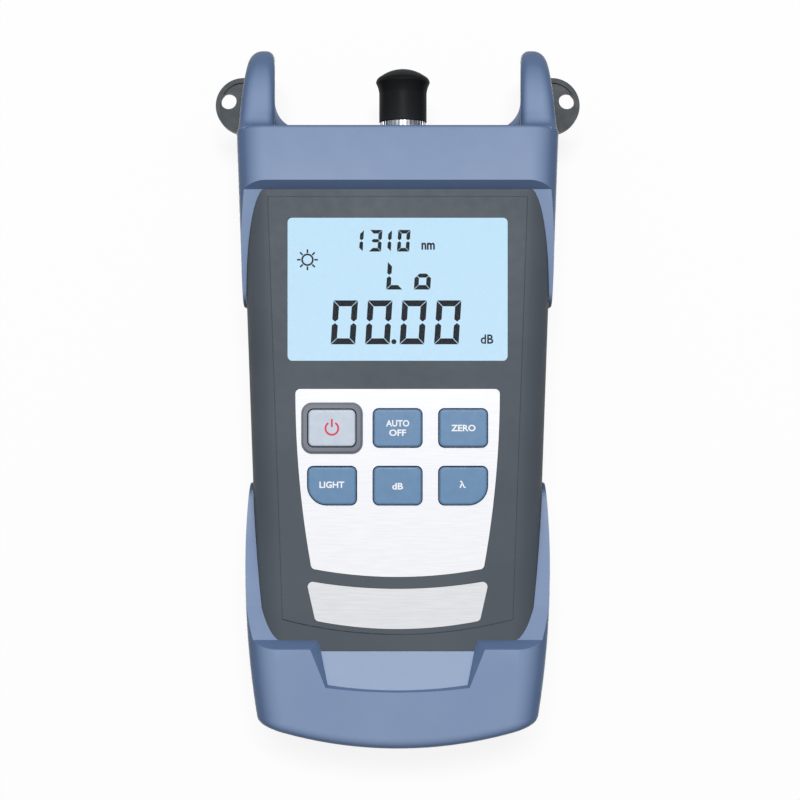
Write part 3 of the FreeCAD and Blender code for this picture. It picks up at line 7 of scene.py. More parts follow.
import logging
import math
from dataclasses import dataclass
from enum import Enum
from typing import Any, Iterable, Sequence

import bmesh
import bpy
from mathutils import Matrix, Vector


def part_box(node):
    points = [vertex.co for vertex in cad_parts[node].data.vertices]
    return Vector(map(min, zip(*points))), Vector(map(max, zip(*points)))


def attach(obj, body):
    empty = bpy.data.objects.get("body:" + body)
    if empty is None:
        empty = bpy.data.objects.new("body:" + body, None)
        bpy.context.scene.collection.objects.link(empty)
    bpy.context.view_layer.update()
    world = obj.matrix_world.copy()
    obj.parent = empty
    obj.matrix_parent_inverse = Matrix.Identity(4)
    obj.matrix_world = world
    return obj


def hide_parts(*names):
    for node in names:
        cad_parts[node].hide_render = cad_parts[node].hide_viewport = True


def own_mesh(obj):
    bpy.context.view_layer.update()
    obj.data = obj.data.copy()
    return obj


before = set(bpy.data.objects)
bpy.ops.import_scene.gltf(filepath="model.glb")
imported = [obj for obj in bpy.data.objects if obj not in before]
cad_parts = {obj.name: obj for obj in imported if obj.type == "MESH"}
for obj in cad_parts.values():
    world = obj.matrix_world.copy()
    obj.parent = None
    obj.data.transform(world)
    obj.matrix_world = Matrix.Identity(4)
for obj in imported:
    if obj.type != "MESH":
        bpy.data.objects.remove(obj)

LOG = logging.getLogger("power_meter")
METRE = 0.001
Point = tuple[float, float]
Span = tuple[float, float]
Corner = tuple[float, float, float]
Colour = tuple[float, float, float, float]
NOISE_ENDS: Span = (0.3, 0.7)  # Most values of a cloudy pattern lie between these.
FULL_TURN = 360.0
SPIN_STEP = 7.5  # Degrees between the facets of a printed ring.
LETTER_STEPS = 3  # Straight pieces to each curve of a letter.
SAME_POINT = 1e-5  # Corners of a letter nearer than this, before it is scaled, are one.
ROUND_SMOOTH = 40.0  # Edges that turn by more degrees than this stay sharp.
FLAT_SMOOTH = 20.0  # The same for printed marks.


class Axis(Enum):
    """The direction in which a finish's lines run."""

    X = (1.0, 0.0, 0.0)
    Y = (0.0, 1.0, 0.0)


@dataclass(frozen=True)
class Extent:
    """The box of a node at rest, in millimetres."""

    low: Vector
    high: Vector

    @property
    def middle(self) -> Vector:
        """The middle of the box."""
        return (self.low + self.high) / 2


def extent(node: str) -> Extent:
    """Reads where a CAD node lies.

    Args:
        node: The node's name.

    Returns:
        Its box in millimetres.
    """
    low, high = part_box(node)
    return Extent(low / METRE, high / METRE)


def srgb(code: str) -> Colour:
    """Turns a colour as it is written on a screen into the linear one a shader takes.

    Args:
        code: Six hex digits, red, green and blue.

    Returns:
        The linear colour, with an alpha of 1.
    """
    parts = [int(code[i:i + 2], 16) / 255 for i in (0, 2, 4)]
    linear = [c / 12.92 if c <= 0.04045 else ((c + 0.055) / 1.055) ** 2.4 for c in parts]
    return (linear[0], linear[1], linear[2], 1.0)


def tones(dark: str, light: str, ends: Span = NOISE_ENDS) -> tuple[tuple[float, Colour], ...]:
    """Gives the two stops of a colour ramp.

    Args:
        dark: The colour at its low end.
        light: The colour at its high end.
        ends: The two ends.

    Returns:
        The stops.
    """
    return tuple(zip(ends, (srgb(dark), srgb(light))))


def onto(low: float, high: float, ends: Span = NOISE_ENDS) -> dict[str, float]:
    """Gives the limits that map a pattern onto a range.

    Args:
        low: What the pattern's low end becomes.
        high: What its high end becomes.
        ends: The pattern's two ends.

    Returns:
        The limits by the names of their sockets.
    """
    return {"From Min": ends[0], "From Max": ends[1], "To Min": low, "To Max": high}


def join(tree: bpy.types.NodeTree, node: bpy.types.Node, wires: dict[Any, Any]) -> None:
    """Joins or sets a node's inputs.

    Args:
        tree: The node tree.
        node: The node.
        wires: For each input, by name or place, its value or the output it is joined to. A node
            stands for the first of its outputs that is in use.
    """
    for key, source in wires.items():
        if isinstance(source, bpy.types.Node):
            source = next(output for output in source.outputs if output.enabled)
        if isinstance(source, bpy.types.NodeSocket):
            tree.links.new(source, node.inputs[key])
        else:
            node.inputs[key].default_value = source


def add(tree: bpy.types.NodeTree, kind: str, wires: dict[Any, Any] | None = None,
        stops: Sequence[tuple[float, Colour]] = (), **settings: Any) -> bpy.types.Node:
    """Adds one node.

    Args:
        tree: The node tree.
        kind: The node's type.
        wires: What its inputs are set or joined to.
        stops: The two stops of a colour ramp.
        settings: The node's own settings.

    Returns:
        The new node.
    """
    node = tree.nodes.new(kind)
    for name, value in settings.items():
        setattr(node, name, value)
    for count, (place, colour) in enumerate(stops):
        node.color_ramp.elements[count].position = place
        node.color_ramp.elements[count].color = colour
    join(tree, node, wires or {})
    return node


def inside_box(tree: bpy.types.NodeTree, where: bpy.types.Node, low: Corner,
               high: Corner) -> bpy.types.Node:
    """Tells which places lie in a box.

    Args:
        tree: The material's node tree.
        where: The place, in millimetres.
        low: The box's lowest corner.
        high: The box's highest corner.

    Returns:
        A node that gives 1 inside the box and 0 outside it.
    """
    parts = add(tree, "ShaderNodeSeparateXYZ", {0: where})
    found: bpy.types.Node | None = None
    for axis, start, end in zip("XYZ", low, high):
        offset = add(tree, "ShaderNodeMath", {0: parts.outputs[axis], 1: (start + end) / 2},
                     operation="SUBTRACT")
        away = add(tree, "ShaderNodeMath", {0: offset}, operation="ABSOLUTE")
        test = add(tree, "ShaderNodeMath", {0: away, 1: (end - start) / 2}, operation="LESS_THAN")
        found = test if found is None else add(tree, "ShaderNodeMath", {0: found, 1: test},
                                               operation="MULTIPLY")
    return found


def place_on_object(tree: bpy.types.NodeTree,
                    stretch: Sequence[float] = (1, 1, 1)) -> bpy.types.Node:
    """Gives a pattern its place on the object, in millimetres.

    Args:
        tree: The material's node tree.
        stretch: How much finer the pattern is along each axis.

    Returns:
        The node that maps the Object coordinates.
    """
    coordinates = add(tree, "ShaderNodeTexCoord").outputs["Object"]
    scale = [share / METRE for share in stretch]
    return add(tree, "ShaderNodeMapping", {"Vector": coordinates, "Scale": scale})


def shader(name: str, constants: dict[str, Any]) -> tuple[bpy.types.Material, bpy.types.Node]:
    """Starts a material with its shader.

    Args:
        name: The material's name.
        constants: What is the same all over, by the shader's socket names.

    Returns:
        The material and its Principled shader.
    """
    material = bpy.data.materials.new(name)
    material.use_nodes = True
    surface = material.node_tree.nodes["Principled BSDF"]
    join(material.node_tree, surface, constants)
    return material, surface


def cover(surface: bpy.types.Node, colour: bpy.types.Node | Colour, rubs: bpy.types.Node,
          roughness: Span, relief: bpy.types.Node | None = None, depth: float = 0.0) -> None:
    """Gives a surface its colour, its varied roughness and its relief.

    Args:
        surface: The shader.
        colour: Its colour.
        rubs: The pattern that its roughness follows.
        roughness: Its lowest and highest roughness.
        relief: The pattern that stands out of it, if one does.
        depth: How far that stands out, in millimetres.
    """
    tree = surface.id_data
    uneven = add(tree, "ShaderNodeMapRange", {"Value": rubs, **onto(*roughness)})
    join(tree, surface, {"Base Color": colour, "Roughness": uneven})
    if relief is not None:
        raised = add(tree, "ShaderNodeBump",
                     {"Height": relief, "Distance": depth * METRE, "Strength": 1.0})
        join(tree, surface, {"Normal": raised})


def around(middle: float, vary: float) -> Span:
    """Gives the limits of what varies round a middle value."""
    return middle - vary, middle + vary


@dataclass(frozen=True)
class SoftRubber:
    """Moulded thermoplastic rubber: matte and finely grained, with flow clouds, painted highlights
    on its edges and painted shade in its folds and on its walls.
    """

    name: str
    light: str
    dark: str
    roughness: float = 0.62
    grain_mm: float = 0.5
    grain_depth_mm: float = 0.012
    edge: str = ""
    shine: float = 0.2
    dust: float = 0.7
    crease_shade: str = "2A3548"
    crease_mm: float = 7.0
    crease_sky: Span = (0.3, 0.9)
    wall_shade: str = ""
    wall_tilt: Span = (0.7, 0.998)
    paler_floor: str = ""
    paler_floor_low: Corner = (0.0, 0.0, 0.0)
    paler_floor_high: Corner = (0.0, 0.0, 0.0)
    paler_floor_tilt: float = 0.9
    edge_curve: Span = (0.53, 0.62)
    edge_share: float = 0.5
    cloud_mm: float = 22.0
    rub_mm: float = 6.0
    vary: float = 0.05

    def build(self) -> bpy.types.Material:
        """Makes the material.

        Returns:
            The material.
        """
        # A thermoplastic elastomer has IOR near 1.5 and a soft skin that scatters light widely.
        # Fine dust in the grain gives it a pale bloom where it is seen edge-on.
        material, surface = shader(self.name, {"IOR": 1.5, "Specular IOR Level": self.shine,
                                               "Sheen Weight": self.dust, "Sheen Roughness": 0.25})
        tree = material.node_tree
        where = place_on_object(tree)
        clouds = add(tree, "ShaderNodeTexNoise",
                     {"Vector": where, "Scale": 1 / self.cloud_mm, "Detail": 3.0})
        colour = add(tree, "ShaderNodeValToRGB", {0: clouds}, tones(self.dark, self.light))
        # Convex edges are drawn paler: a painted highlight along them.
        if self.edge:
            edge_sharpness = add(tree, "ShaderNodeNewGeometry").outputs["Pointiness"]
            edge_highlight = add(tree, "ShaderNodeMapRange",
                         {"Value": edge_sharpness, **onto(0.0, self.edge_share, self.edge_curve)})
            colour = add(tree, "ShaderNodeMix",
                         {"Factor": edge_highlight, "A": colour, "B": srgb(self.edge)}, data_type="RGBA")
        if self.wall_shade or self.paler_floor:
            colour = self.show_mould(tree, where, colour)
        # Painted shade: the rubber is drawn darker in folds and coves, where nearby surfaces close
        # it in.
        sky = add(tree, "ShaderNodeAmbientOcclusion", {"Distance": self.crease_mm * METRE})
        unshaded = add(tree, "ShaderNodeMapRange",
                    {"Value": sky.outputs["AO"], **onto(0.0, 1.0, self.crease_sky)})
        crease_shaded = add(tree, "ShaderNodeMix", {"Factor": unshaded, "A": srgb(self.crease_shade), "B": colour},
                     data_type="RGBA")
        rubs = add(tree, "ShaderNodeTexNoise", {"Vector": where, "Scale": 1 / self.rub_mm})
        # The real grain is about 0.1 mm wide. It is drawn coarser to show.
        fine = add(tree, "ShaderNodeTexNoise", {"Vector": where, "Scale": 1 / self.grain_mm})
        cover(surface, crease_shaded, rubs, around(self.roughness, self.vary), fine, self.grain_depth_mm)
        return material

    def show_mould(self, tree: bpy.types.NodeTree, where: bpy.types.Node,
                   colour: bpy.types.Node) -> bpy.types.Node:
        """Paints shade on the steep walls and draws the upward faces of the ramp paler.

        Args:
            tree: The material's node tree.
            where: The place, in millimetres.
            colour: The colour so far.

        Returns:
            The node that gives the new colour.
        """
        facing = add(tree, "ShaderNodeTexCoord").outputs["Normal"]
        height = add(tree, "ShaderNodeSeparateXYZ", {0: facing}).outputs["Z"]
        upright = add(tree, "ShaderNodeMath", {0: height}, operation="ABSOLUTE")
        if self.wall_shade:
            # Painted shade: the steeper a wall stands, the darker it is drawn.
            flat = add(tree, "ShaderNodeMapRange",
                       {"Value": upright, **onto(0.0, 1.0, self.wall_tilt)})
            colour = add(tree, "ShaderNodeMix", {"Factor": flat, "A": srgb(self.wall_shade), "B": colour},
                         data_type="RGBA")
        if self.paler_floor:
            # The upward faces inside the ramp's box are drawn paler.
            patch = inside_box(tree, where, self.paler_floor_low, self.paler_floor_high)
            floor = add(tree, "ShaderNodeMath", {0: upright, 1: self.paler_floor_tilt},
                        operation="GREATER_THAN")
            share = add(tree, "ShaderNodeMath", {0: patch, 1: floor}, operation="MULTIPLY")
            colour = add(tree, "ShaderNodeMix",
                         {"Factor": share, "A": colour, "B": srgb(self.paler_floor)}, data_type="RGBA")
        return colour


@dataclass(frozen=True)
class MouldedPlastic:
    """Injection-moulded ABS with a spark-eroded grain: even colour and a dull, pebbled skin."""

    name: str
    colour: str
    shade: str
    roughness: float = 0.5
    pebble_mm: float = 0.4
    pebble_depth_mm: float = 0.01
    cloud_mm: float = 30.0
    cloud_ends: Span = (0.35, 0.65)
    rub_mm: float = 3.0
    vary: float = 0.04
    shine: float = 0.14

    def build(self) -> bpy.types.Material:
        """Makes the material.

        Returns:
            The material.
        """
        # ABS has IOR 1.54. The eroded mould leaves rounded pebbles of about 0.1 mm, drawn coarser
        # to show.
        material, surface = shader(self.name, {"IOR": 1.54, "Specular IOR Level": self.shine})
        tree = material.node_tree
        where = place_on_object(tree)
        clouds = add(tree, "ShaderNodeTexNoise", {"Vector": where, "Scale": 1 / self.cloud_mm})
        colour = add(tree, "ShaderNodeValToRGB", {0: clouds},
                     tones(self.shade, self.colour, self.cloud_ends))
        rubs = add(tree, "ShaderNodeTexNoise", {"Vector": where, "Scale": 1 / self.rub_mm})
        pebbles = add(tree, "ShaderNodeTexVoronoi",
                      {"Vector": where, "Scale": 1 / self.pebble_mm, "Smoothness": 0.8},
                      feature="SMOOTH_F1")
        cover(surface, colour, rubs, around(self.roughness, self.vary), pebbles,
              self.pebble_depth_mm)
        return material


@dataclass(frozen=True)
class PrintedFoil:
    """A pale silver-white polyester overlay, brushed faintly along one axis."""

    name: str
    light: str
    dark: str
    along: Axis = Axis.X
    roughness: float = 0.36
    line_mm: float = 0.3
    line_depth_mm: float = 0.002
    drag: float = 0.04
    vary: float = 0.05

    def build(self) -> bpy.types.Material:
        """Makes the material.

        Returns:
            The material.
        """
        # The print under the clear film is fine metallic ink, so its brushing shows only as faint
        # streaks.
        material, surface = shader(self.name, {"IOR": 1.58, "Coat Weight": 0.25,
                                               "Coat Roughness": 0.15})
        tree = material.node_tree
        where = place_on_object(tree, [self.drag if part else 1.0 for part in self.along.value])
        streaks = add(tree, "ShaderNodeTexNoise", {"Vector": where, "Scale": 1 / self.line_mm,
                                                   "Detail": 3.0, "Roughness": 0.6})
        colour = add(tree, "ShaderNodeValToRGB", {0: streaks}, tones(self.dark, self.light))
        cover(surface, colour, streaks, around(self.roughness, self.vary), streaks,
              self.line_depth_mm)
        return material


@dataclass(frozen=True)
class SiliconeKey:
    """Moulded silicone rubber with a sprayed satin skin: soft highlights and a faint mottle."""

    name: str
    light: str
    dark: str
    skirt_shade: str
    low_mm: float = 0.0
    high_mm: float = 1.0
    roughness: float = 0.4
    mottle_mm: float = 2.5
    rub_mm: float = 1.2
    spray_mm: float = 0.35
    spray_depth_mm: float = 0.004
    smoother: float = 0.05
    rougher: float = 0.06

    def build(self) -> bpy.types.Material:
        """Makes the material, with painted shade down the key's walls.

        Returns:
            The material.
        """
        # Silicone has IOR 1.43. The spray coat makes the top satin, and painted shade darkens
        # the walls low down, where the gap round the key is in shadow.
        material, surface = shader(self.name, {"IOR": 1.43, "Coat Weight": 0.08,
                                               "Coat Roughness": 0.3})
        tree = material.node_tree
        where = place_on_object(tree)
        patches = add(tree, "ShaderNodeTexNoise",
                      {"Vector": where, "Scale": 1 / self.mottle_mm, "Detail": 3.0})
        mottle = add(tree, "ShaderNodeValToRGB", {0: patches}, tones(self.dark, self.light))
        # Painted shade: darker towards the key's foot.
        height = add(tree, "ShaderNodeSeparateXYZ", {0: where}).outputs["Z"]
        up = add(tree, "ShaderNodeMapRange",
                 {"Value": height, **onto(0.0, 1.0, (self.low_mm, self.high_mm))})
        colour = add(tree, "ShaderNodeMix", {"Factor": up, "A": srgb(self.skirt_shade), "B": mottle},
                     data_type="RGBA")
        rubs = add(tree, "ShaderNodeTexNoise", {"Vector": where, "Scale": 1 / self.rub_mm})
        spray = add(tree, "ShaderNodeTexNoise", {"Vector": where, "Scale": 1 / self.spray_mm})
        limits = (self.roughness - self.smoother, self.roughness + self.rougher)
        cover(surface, colour, rubs, limits, spray, self.spray_depth_mm)
        return material


@dataclass(frozen=True)
class Metal:
    """A turned, pressed or plated metal part, with lines where the tool or polishing belt ran."""

    name: str
    light: str
    dark: str
    roughness: float = 0.28
    lines: Axis = Axis.Y
    line_mm: float = 0.25
    depth_mm: float = 0.003
    turned: bool = False
    drag: float = 0.05
    stain_mm: float = 3.0
    vary: float = 0.07

    def build(self) -> bpy.types.Material:
        """Makes the material.

        Returns:
            The material.
        """
        # Plated brass and steel keep the lines of their last cut, which smear a highlight across
        # them.
        material, surface = shader(self.name, {"Metallic": 1.0})
        tree = material.node_tree
        lengthwise, crosswise = (1.0, self.drag) if self.turned else (self.drag, 1.0)
        stretch = [lengthwise if part else crosswise for part in self.lines.value]
        cut = add(tree, "ShaderNodeTexNoise", {"Vector": place_on_object(tree, stretch),
                                               "Scale": 1 / self.line_mm,
                                               "Detail": 3.0, "Roughness": 0.6})
        stain = add(tree, "ShaderNodeTexNoise",
                    {"Vector": place_on_object(tree), "Scale": 1 / self.stain_mm})
        colour = add(tree, "ShaderNodeValToRGB", {0: stain}, tones(self.dark, self.light))
        cover(surface, colour, cut, around(self.roughness, self.vary), cut, self.depth_mm)
        return material


@dataclass(frozen=True)
class ClearWindow:
    """A clear acrylic window, bonded over the display, with a barely uneven polish."""

    name: str
    tint: str
    shine: float = 0.03
    polish_mm: float = 8.0
    polish: Span = (0.01, 0.03)
    ripple_mm: float = 12.0
    ripple_depth_mm: float = 0.01

    def build(self) -> bpy.types.Material:
        """Makes the material.

        Returns:
            The material.
        """
        # Cast acrylic has IOR 1.49. Its anti-glare coat takes most of the shine off, and its polish
        # leaves only a slow ripple in what it still reflects.
        material, surface = shader(self.name, {"IOR": 1.49, "Transmission Weight": 1.0,
                                               "Specular IOR Level": self.shine})
        tree = material.node_tree
        where = place_on_object(tree)
        rubs = add(tree, "ShaderNodeTexNoise", {"Vector": where, "Scale": 1 / self.polish_mm})
        ripple = add(tree, "ShaderNodeTexNoise", {"Vector": where, "Scale": 1 / self.ripple_mm})
        cover(surface, srgb(self.tint), rubs, self.polish, ripple, self.ripple_depth_mm)
        return material


@dataclass(frozen=True)
class LitGlass:
    """A backlit liquid crystal cell: glowing pale blue, with a fine dot grain."""

    name: str
    top: str
    bottom: str
    unlit: str
    strength: float
    low_mm: float
    high_mm: float
    dot_mm: float = 0.6
    dot_levels: Span = (0.97, 1.0)

    def build(self) -> bpy.types.Material:
        """Makes the material.

        Returns:
            The material.
        """
        # The light comes through a polariser, so it is even and cool, and the glass adds a faint
        # gloss. The real dots are finer and are drawn coarser to show.
        material, surface = shader(self.name, {"IOR": 1.52, "Roughness": 0.35,
                                               "Specular IOR Level": 0.2,
                                               "Emission Strength": self.strength})
        tree = material.node_tree
        where = place_on_object(tree)
        along = add(tree, "ShaderNodeSeparateXYZ", {0: where}).outputs["Y"]
        up = add(tree, "ShaderNodeMapRange",
                 {"Value": along, **onto(0.0, 1.0, (self.low_mm, self.high_mm))})
        glow = add(tree, "ShaderNodeValToRGB", {0: up}, tones(self.bottom, self.top, (0.0, 1.0)))
        dots = add(tree, "ShaderNodeTexNoise",
                   {"Vector": where, "Scale": 1 / self.dot_mm, "Detail": 1.0})
        level = add(tree, "ShaderNodeMapRange", {"Value": dots, **onto(*self.dot_levels)})
        for key, colour in (("Base Color", srgb(self.unlit)), ("Emission Color", glow)):
            dotted = add(tree, "ShaderNodeMix", {"Factor": 1.0, "A": colour, "B": level},
                         data_type="RGBA", blend_type="MULTIPLY")
            join(tree, surface, {key: dotted})
        return material


@dataclass(frozen=True)
class Ink:
    """A thin printed or switched mark: flat colour broken by the screen's fine speckle."""

    name: str
    colour: str
    shade: str
    roughness: float = 0.5
    speckle_mm: float = 0.3
    shine: float = 0.3
    vary: float = 0.05

    def build(self) -> bpy.types.Material:
        """Makes the material.

        Returns:
            The material.
        """
        # Pad-printed ink is 0.02 mm thick and slightly patchy where the pad lifted.
        material, surface = shader(self.name, {"IOR": 1.5, "Specular IOR Level": self.shine})
        tree = material.node_tree
        where = place_on_object(tree)
        patches = add(tree, "ShaderNodeTexNoise", {"Vector": where, "Scale": 1 / self.speckle_mm})
        colour = add(tree, "ShaderNodeValToRGB", {0: patches}, tones(self.shade, self.colour))
        cover(surface, colour, patches, around(self.roughness, self.vary))
        return material


def dress(nodes: Iterable[str], material: bpy.types.Material) -> None:
    """Gives CAD nodes their finish.

    Args:
        nodes: The nodes' names.
        material: The finish.
    """
    for name in nodes:
        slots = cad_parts[name].data.materials
        slots.clear()
        slots.append(material)
        LOG.info("dressed %s in %s", name, material.name)


def finish_piece(name: str, shape: bmesh.types.BMesh, material: bpy.types.Material, body: str,
                 smooth: float = ROUND_SMOOTH) -> bpy.types.Object:
    """Turns a shape drawn in millimetres into a piece that rides on a body.

    Args:
        name: The piece's name.
        shape: The shape, used up by this call.
        material: Its finish.
        body: The CAD body that carries it.
        smooth: Edges that turn by less than this many degrees are shaded smooth.

    Returns:
        The piece.
    """
    bmesh.ops.scale(shape, vec=(METRE,) * 3, verts=shape.verts)
    bmesh.ops.recalc_face_normals(shape, faces=shape.faces)
    mesh = bpy.data.meshes.new(name)
    shape.to_mesh(mesh)
    shape.free()
    for face in mesh.polygons:
        face.use_smooth = True
    mesh.set_sharp_from_angle(angle=math.radians(smooth))
    piece = bpy.data.objects.new(name, mesh)
    bpy.context.scene.collection.objects.link(piece)
    mesh.materials.append(material)
    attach(piece, body)
    LOG.info("built %s with %d faces", name, len(mesh.polygons))
    return piece


def raise_faces(shape: bmesh.types.BMesh, faces: Sequence[bmesh.types.BMFace],
                thick: float) -> None:
    """Gives flat faces their thickness.

    Args:
        shape: The shape that they are part of.
        faces: The faces.
        thick: How far they are drawn up.
    """
    raised = bmesh.ops.extrude_face_region(shape, geom=faces)
    top = [part for part in raised["geom"] if isinstance(part, bmesh.types.BMVert)]
    bmesh.ops.translate(shape, verts=top, vec=(0, 0, thick))


def slab(shape: bmesh.types.BMesh, outline: Sequence[Point], low: float, thick: float) -> None:
    """Adds a flat piece with a given outline.

    Args:
        shape: The shape it is added to.
        outline: Its corners, in order.
        low: The height of its underside.
        thick: Its thickness.
    """
    face = shape.faces.new([shape.verts.new((x, y, low)) for x, y in outline])
    raise_faces(shape, [face], thick)


def trim(shape: bmesh.types.BMesh, place: Vector, outward: Vector) -> None:
    """Cuts off what lies beyond a plane and closes the cut.

    Args:
        shape: The closed shape that is cut.
        place: A point on the plane.
        outward: The direction that is cut away.
    """
    parts = [*shape.verts, *shape.edges, *shape.faces]
    bmesh.ops.bisect_plane(shape, geom=parts, plane_co=place, plane_no=outward, clear_outer=True)
    bmesh.ops.holes_fill(shape, edges=[edge for edge in shape.edges if edge.is_boundary])


def annulus(shape: bmesh.types.BMesh, centre: Point, radii: Span, low: float, thick: float,
            start: float = 0.0, sweep: float = FULL_TURN) -> None:
    """Adds a flat ring or part of one.

    Args:
        shape: The shape it is added to.
        centre: Its centre.
        radii: Its inner and outer radius.
        low: The height of its underside.
        thick: Its thickness.
        start: Where it starts, in degrees from +X.
        sweep: How far it runs, in degrees.
    """
    inner, outer = radii
    turn = Matrix.Rotation(math.radians(start), 3, "Z")
    base = Vector((centre[0], centre[1], low))
    corners = [(inner, 0), (outer, 0), (outer, thick), (inner, thick)]
    face = shape.faces.new([shape.verts.new(base + turn @ Vector((r, 0, z))) for r, z in corners])
    full = sweep >= FULL_TURN
    bmesh.ops.spin(shape, geom=[face], cent=base, axis=(0, 0, 1), angle=math.radians(sweep),
                   steps=int(sweep / SPIN_STEP), use_merge=full)
    if full and face.is_valid:
        bmesh.ops.delete(shape, geom=[face], context="FACES_ONLY")


@dataclass(frozen=True)
class Lettering:
    """Printed words, made as thin raised letters and placed from a middle."""

    words: str
    at: Point
    width: float
    cap_height: float = 1.75
    bold: float = 0.025

    def build(self, name: str, centre: Vector, low: float, thick: float) -> bmesh.types.BMesh:
        """Makes the letters.

        Args:
            name: A name for the letters while they are made.
            centre: The middle that they are placed from.
            low: The height of their underside in millimetres.
            thick: How thick they are in millimetres.

        Returns:
            The letters, in millimetres, centred where they belong.
        """
        curve = bpy.data.curves.new(name, "FONT")
        curve.body = self.words
        curve.offset = self.bold
        curve.resolution_u = LETTER_STEPS
        curve.align_x = "CENTER"
        text = bpy.data.objects.new(name, curve)
        bpy.context.scene.collection.objects.link(text)
        mesh = bpy.data.meshes.new_from_object(text)
        bpy.data.objects.remove(text)
        shape = bmesh.new()
        shape.from_mesh(mesh)
        bpy.data.meshes.remove(mesh)
        bmesh.ops.remove_doubles(shape, verts=shape.verts, dist=SAME_POINT)
        left, right = self.reach(shape, 0)
        foot, head = self.reach(shape, 1)
        scale = (self.width / (right - left), self.cap_height / (head - foot), 1.0)
        bmesh.ops.scale(shape, vec=scale, verts=shape.verts)
        middle = [sum(self.reach(shape, axis)) / 2 for axis in (0, 1)]
        shift = (centre.x + self.at[0] - middle[0], centre.y + self.at[1] - middle[1],
                 low - self.reach(shape, 2)[0])
        bmesh.ops.translate(shape, verts=shape.verts, vec=shift)
        raise_faces(shape, shape.faces[:], thick)
        return shape

    @staticmethod
    def reach(shape: bmesh.types.BMesh, axis: int) -> Span:
        """Tells how far a shape reaches.

        Args:
            shape: The shape.
            axis: 0, 1 or 2 for X, Y or Z.

        Returns:
            Its lowest and highest place along the axis.
        """
        places = [vertex.co[axis] for vertex in shape.verts]
        return min(places), max(places)


@dataclass
class Case:
    """The two covers of the case and the screws that hold it together."""

    plastic: MouldedPlastic = MouldedPlastic("grained_grey_abs", "545B63", "4E555D")
    screw: Metal = Metal("zinc_plated_steel_screw", "B9BDC2", "8E9298", 0.32)

    def build(self) -> None:
        """Dresses the covers and their screws."""
        dress(["front_cover", "rear_cover"], self.plastic.build())
        dress(["case_screws", "board_screws"], self.screw.build())


@dataclass
class Guards:
    """The two soft guards over the ends of the case, and the lugs that stand out of the horns."""

    ramp_half: float = 23.5
    ramp_start: float = -68.9
    ramp_end: float = -79.8
    ramp_lip: float = 0.35
    ramp_spare: float = 0.1
    lug: MouldedPlastic = MouldedPlastic("dark_nylon_lug", "3A4248", "31383D", 0.42)

    def build(self) -> None:
        """Dresses the guards and the lugs."""
        top, face = extent("bottom_guard").high.z, extent("front_cover").high.z
        low = (-self.ramp_half, self.ramp_end, face - self.ramp_spare)
        high = (self.ramp_half, self.ramp_start, top - self.ramp_lip)
        # Paler convex edges are painted highlight; darker walls and folds are painted shade.
        rubber = SoftRubber("moulded_blue_tpe_rubber", "8699BA", "8195B8", edge="9FB0CB",
                            wall_shade="5F769B", paler_floor="9CAECC", paler_floor_low=low, paler_floor_high=high)
        dress(["top_guard", "bottom_guard"], rubber.build())
        dress(["strap_lug_left", "strap_lug_right"], self.lug.build())


class Mark(Enum):
    """The bars of a seven-bar digit that each character lights."""

    ZERO = "abcdef"
    ONE = "bc"
    THREE = "abcdg"
    BIG_L = "def"
    SMALL_O = "cdeg"


@dataclass(frozen=True)
class Digit:
    """One seven-bar character of the display, leaning a little to the right."""

    mark: Mark
    at: Point
    width: float
    height: float
    bar: float
    gap: float
    lean: float = 0.065
    waist_tip: float = 0.9
    waist_gaps: float = 2.2
    shoulder: float = 0.8
    outer_gaps: float = 1.6
    inner_gaps: float = 1.2

    def bars(self) -> dict[str, tuple[Point, Point]]:
        """Gives the two ends of each bar's middle line, round the middle of the digit.

        Returns:
            The ends by the bar's letter.
        """
        x = (self.width - self.bar) / 2
        y = (self.height - self.bar) / 2
        corners = {"a": ((-x, y), (x, y)), "b": ((x, y), (x, 0)), "c": ((x, 0), (x, -y)),
                   "d": ((-x, -y), (x, -y)), "e": ((-x, 0), (-x, -y)), "f": ((-x, y), (-x, 0)),
                   "g": ((-x, 0), (x, 0))}
        return {letter: corners[letter] for letter in self.mark.value}

    def outline(self, letter: str, ends: tuple[Point, Point]) -> list[Point]:
        """Gives a bar its shape: mitred where it meets a neighbour and pointed at the waist.

        Args:
            letter: The bar's letter.
            ends: The ends of its middle line.

        Returns:
            Its corners.
        """
        (x0, y0), (x1, y1) = ends
        half = self.bar / 2
        if letter in "ad":
            out = 1 if letter == "a" else -1
            long, short = half - self.gap, half + self.gap
            return [(x0 - long, y0 + out * half), (x1 + long, y0 + out * half),
                    (x1 - short, y0 - out * half), (x0 + short, y0 - out * half)]
        if letter == "g":
            tip, inset = half * self.waist_tip, half + self.gap
            return [(x0 + self.gap, y0), (x0 + inset, y0 + tip), (x1 - inset, y0 + tip),
                    (x1 - self.gap, y0), (x1 - inset, y0 - tip), (x0 + inset, y0 - tip)]
        out = 1 if letter in "bc" else -1
        end = 1 if letter in "bf" else -1
        far = max(y0, y1) if end > 0 else min(y0, y1)
        waist = end * self.gap * self.waist_gaps
        neck = waist + end * half * self.shoulder
        return [(x0 + out * half, far + end * (half - self.gap * self.outer_gaps)),
                (x0 + out * half, neck), (x0, waist), (x0 - out * half, neck),
                (x0 - out * half, far - end * (half + self.gap * self.inner_gaps))]

    def build(self, shape: bmesh.types.BMesh, low: float, thick: float) -> None:
        """Adds the digit's bars to the display's characters.

        Args:
            shape: The characters so far.
            low: The height of their underside.
            thick: Their thickness.
        """
        aside = -(self.width - self.bar) / 2 if self.mark is Mark.ONE else 0.0
        for letter, ends in self.bars().items():
            corners = [(self.at[0] + x + aside + self.lean * y, self.at[1] + y)
                       for x, y in self.outline(letter, ends)]
            slab(shape, corners, low, thick)


@dataclass(frozen=True)
class Row:
    """Equal characters in a row, the first one placed from the window's middle."""

    marks: tuple[Mark, ...]
    first: Point
    pitch: float
    size: Point
    bar: float
    gap: float


